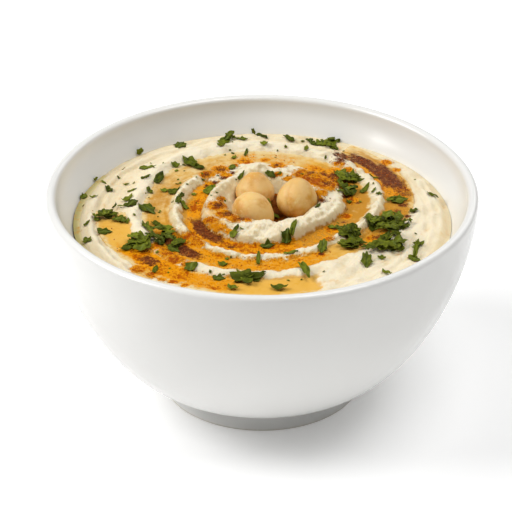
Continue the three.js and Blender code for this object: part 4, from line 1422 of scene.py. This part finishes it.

# %% [markdown]
# A leaf is dark or light green by its own `tone`, which also carries a painted highlight on the
# parts of its ruffle that stand up; it is paler along a rib, and darker in patches where it
# is bruised and wet.

# %% Parsley material
def parsley_material():
    material, tree, shader = new_material("parsley_leaf")
    tone = attribute(tree, "tone")
    leaf = blend_colours(tree, tone, (0.034, 0.044, 0.001, 1), (0.180, 0.205, 0.014, 1))
    patches = add_mottle(tree, leaf, (0.034, 0.048, 0.003, 1), 700, 0.5, 0.75)
    ribbed = math_node(tree, "MULTIPLY", attribute(tree, "rib"), 0.45)
    colour = blend_colours(tree, ribbed, patches["Colour"], (0.19, 0.25, 0.06, 1))
    tree.links.new(colour, shader.inputs["Base Color"])
    shader.inputs["Roughness"].default_value = 0.5
    shader.inputs["Specular IOR Level"].default_value = 0.08
    add_bump(tree, shader, patches["Height"], 0.3 * MM, 0.8)
    return material


finish_piece(parsley, "parsley", parsley_material(), "hummus")

# %% [markdown]
# ## Paprika grains
# Ground paprika is coarse enough to see: dark red-brown grains lie on the stains, thickest
# where a pinch fell. A grain is a squashed few-sided ball, and they are scattered where the
# seasoning is strong.

# %% Scatter the grains
GRAIN_COUNT = 1500
GRAINS_WITHIN, GRAINS_BELOW = 52, 4.2


def grain_blank():
    """A ball of twenty faces, one millimetre in radius."""
    let_go()
    bpy.ops.mesh.primitive_ico_sphere_add(subdivisions=1, radius=MM)
    return new_piece("paprika_grain")


def scatter_grains(blank, count):
    """Try many places, keep those that the seasoning favours, and put a grain on each."""
    pick, far = random.Random(5), GRAINS_WITHIN
    tries = [(pick.uniform(-far, far), pick.uniform(-far, far)) for number in range(count * 14)]
    tries = np.array(tries)
    tries = tries[np.hypot(tries[:, 0], tries[:, 1]) < far]
    x, y = tries.T
    height = ground(x, y)
    film, tan, vivid, spice = seasoning(x, y, height)
    chance = 0.5 * vivid**2 + spice
    chance = chance * (0.5 + cloud(x, y, 2.2, 21.0))
    kept = np.array([pick.random() < share for share in chance])
    kept &= height < GRAINS_BELOW
    spots_kept = np.column_stack([x, y, height])[kept][:count]
    shape = corners(blank)
    faces = np.array([list(face.vertices) for face in blank.data.polygons])
    places, sides, tones = [], [], []
    for number, (grain_x, grain_y, grain_z) in enumerate(spots_kept):
        size = pick.uniform(0.1, 0.26)
        stretched = shape * (size, size * pick.uniform(0.6, 1), size * 0.6)
        turned = np.array(Quaternion((0, 0, 1), pick.uniform(0, 6.3)).to_matrix())
        places.append(stretched @ turned.T + (grain_x, grain_y, GROOVE_LEVEL + grain_z + 0.05))
        sides.append(faces + number * len(shape))
        tones += [pick.random()] * len(shape)
    let_go()
    mesh = bpy.data.meshes.new("paprika_grains")
    mesh.from_pydata((np.vstack(places) * MM).tolist(), [], np.vstack(sides).tolist())
    grains = bpy.data.objects.new("paprika_grains", mesh)
    bpy.context.collection.objects.link(grains)
    paint(grains, "tone", np.array(tones))
    print(len(places), "grains of paprika")
    return grains


one_grain = grain_blank()
paprika = scatter_grains(one_grain, GRAIN_COUNT)
take(one_grain)
bpy.ops.object.delete()

# %% [markdown]
# Each grain is brown or red by its own `tone`, and hardly shines.

# %% Paprika material
def paprika_material():
    material, tree, shader = new_material("paprika_grain")
    red = blend_colours(tree, attribute(tree, "tone"), (0.20, 0.035, 0.006, 1), (0.62, 0.16, 0.01, 1))
    speck = add_mottle(tree, red, (0.35, 0.07, 0.01, 1), 2500)
    tree.links.new(speck["Colour"], shader.inputs["Base Color"])
    shader.inputs["Roughness"].default_value = 0.5
    shader.inputs["Specular IOR Level"].default_value = 0.15
    add_bump(tree, shader, speck["Height"], 0.1 * MM)
    return material


finish_piece(paprika, "paprika", paprika_material(), "hummus")

# %% [markdown]
# ## Stage, camera and light
# The bowl stands on a plain pale table. The camera looks down at it from the front with a
# long lens, which keeps the rim's two sides even. Three large soft lights do the rest: one
# on the left that brightens the left outer wall and the right inner wall, one almost overhead
# that models the crests of the paste, and a weak one behind that parts the bowl from its
# background. The pale table and a faint sky fill in the shade.

# %% Table
TABLE_SIZE, TABLE_GLOW = 6, 0.15
let_go()
bpy.ops.mesh.primitive_plane_add(size=TABLE_SIZE)
table = new_piece("table")
table_look, table_tree, table_shader = new_material("pale_table")
table_colour = add_mottle(table_tree, (0.97, 0.97, 0.97, 1), (0.96, 0.96, 0.96, 1), 8)
table_tree.links.new(table_colour["Colour"], table_shader.inputs["Base Color"])
table_shader.inputs["Roughness"].default_value = 0.8
table_shader.inputs["Emission Color"].default_value = (1, 1, 1, 1)
table_shader.inputs["Emission Strength"].default_value = TABLE_GLOW
table.data.materials.append(table_look)
print(f"table {TABLE_SIZE} m square")

# %% [markdown]
# The camera is `CAMERA_DISTANCE` metres from the middle of the rim and `CAMERA_RISE` degrees
# above it. It looks down by `CAMERA_DIP` degrees and a hair to the left. Its lens and the
# width of its sensor are in millimetres.

# %% Camera
CAMERA_RISE = 28.2
CAMERA_DISTANCE = 0.780
CAMERA_DIP = 29.69
CAMERA_TURN = 0.148
LENS, SENSOR_WIDTH = 182.55, 36
rise = math.radians(CAMERA_RISE)
camera_z = BOWL_HEIGHT * MM + CAMERA_DISTANCE * math.sin(rise)
camera_place = (0, -CAMERA_DISTANCE * math.cos(rise), camera_z)
camera_turn = (math.radians(90 - CAMERA_DIP), 0, math.radians(CAMERA_TURN))
bpy.ops.object.camera_add(location=camera_place, rotation=camera_turn)
camera = bpy.context.object
camera.data.sensor_width = SENSOR_WIDTH
camera.data.lens = LENS
camera.data.clip_start = 0.05
bpy.context.scene.camera = camera
print("camera at", [round(value, 3) for value in camera_place])

# %% [markdown]
# Each light is a glowing square of `LIGHT_SIZE` metres that faces the paste. It has its
# place in metres and its power in watts.

# %% Lights
LIGHT_SIZE, LIGHT_AIM = 0.75, Vector((0, 0, 0.05))
SKY_STRENGTH = 0.07


def soft_light(name, place, power):
    bpy.ops.object.light_add(type="AREA", location=place)
    light = bpy.context.object
    light.name = name
    light.data.size = LIGHT_SIZE
    light.data.energy = power
    light.rotation_euler = (LIGHT_AIM - Vector(place)).to_track_quat("-Z", "Y").to_euler()
    print(name, "light:", power, "watts")


soft_light("key", (-0.93, 0.0, 0.90), 13.8)
soft_light("second", (0.41, -0.11, 1.22), 9.0)
soft_light("behind", (0.62, 0.86, 0.71), 3.0)
world = bpy.data.worlds.new("pale studio")
bpy.context.scene.world = world
world.use_nodes = True
sky = world.node_tree.nodes["Background"]
sky.inputs["Color"].default_value = (1, 1, 1, 1)
sky.inputs["Strength"].default_value = SKY_STRENGTH
bpy.context.scene.view_settings.view_transform = "Standard"
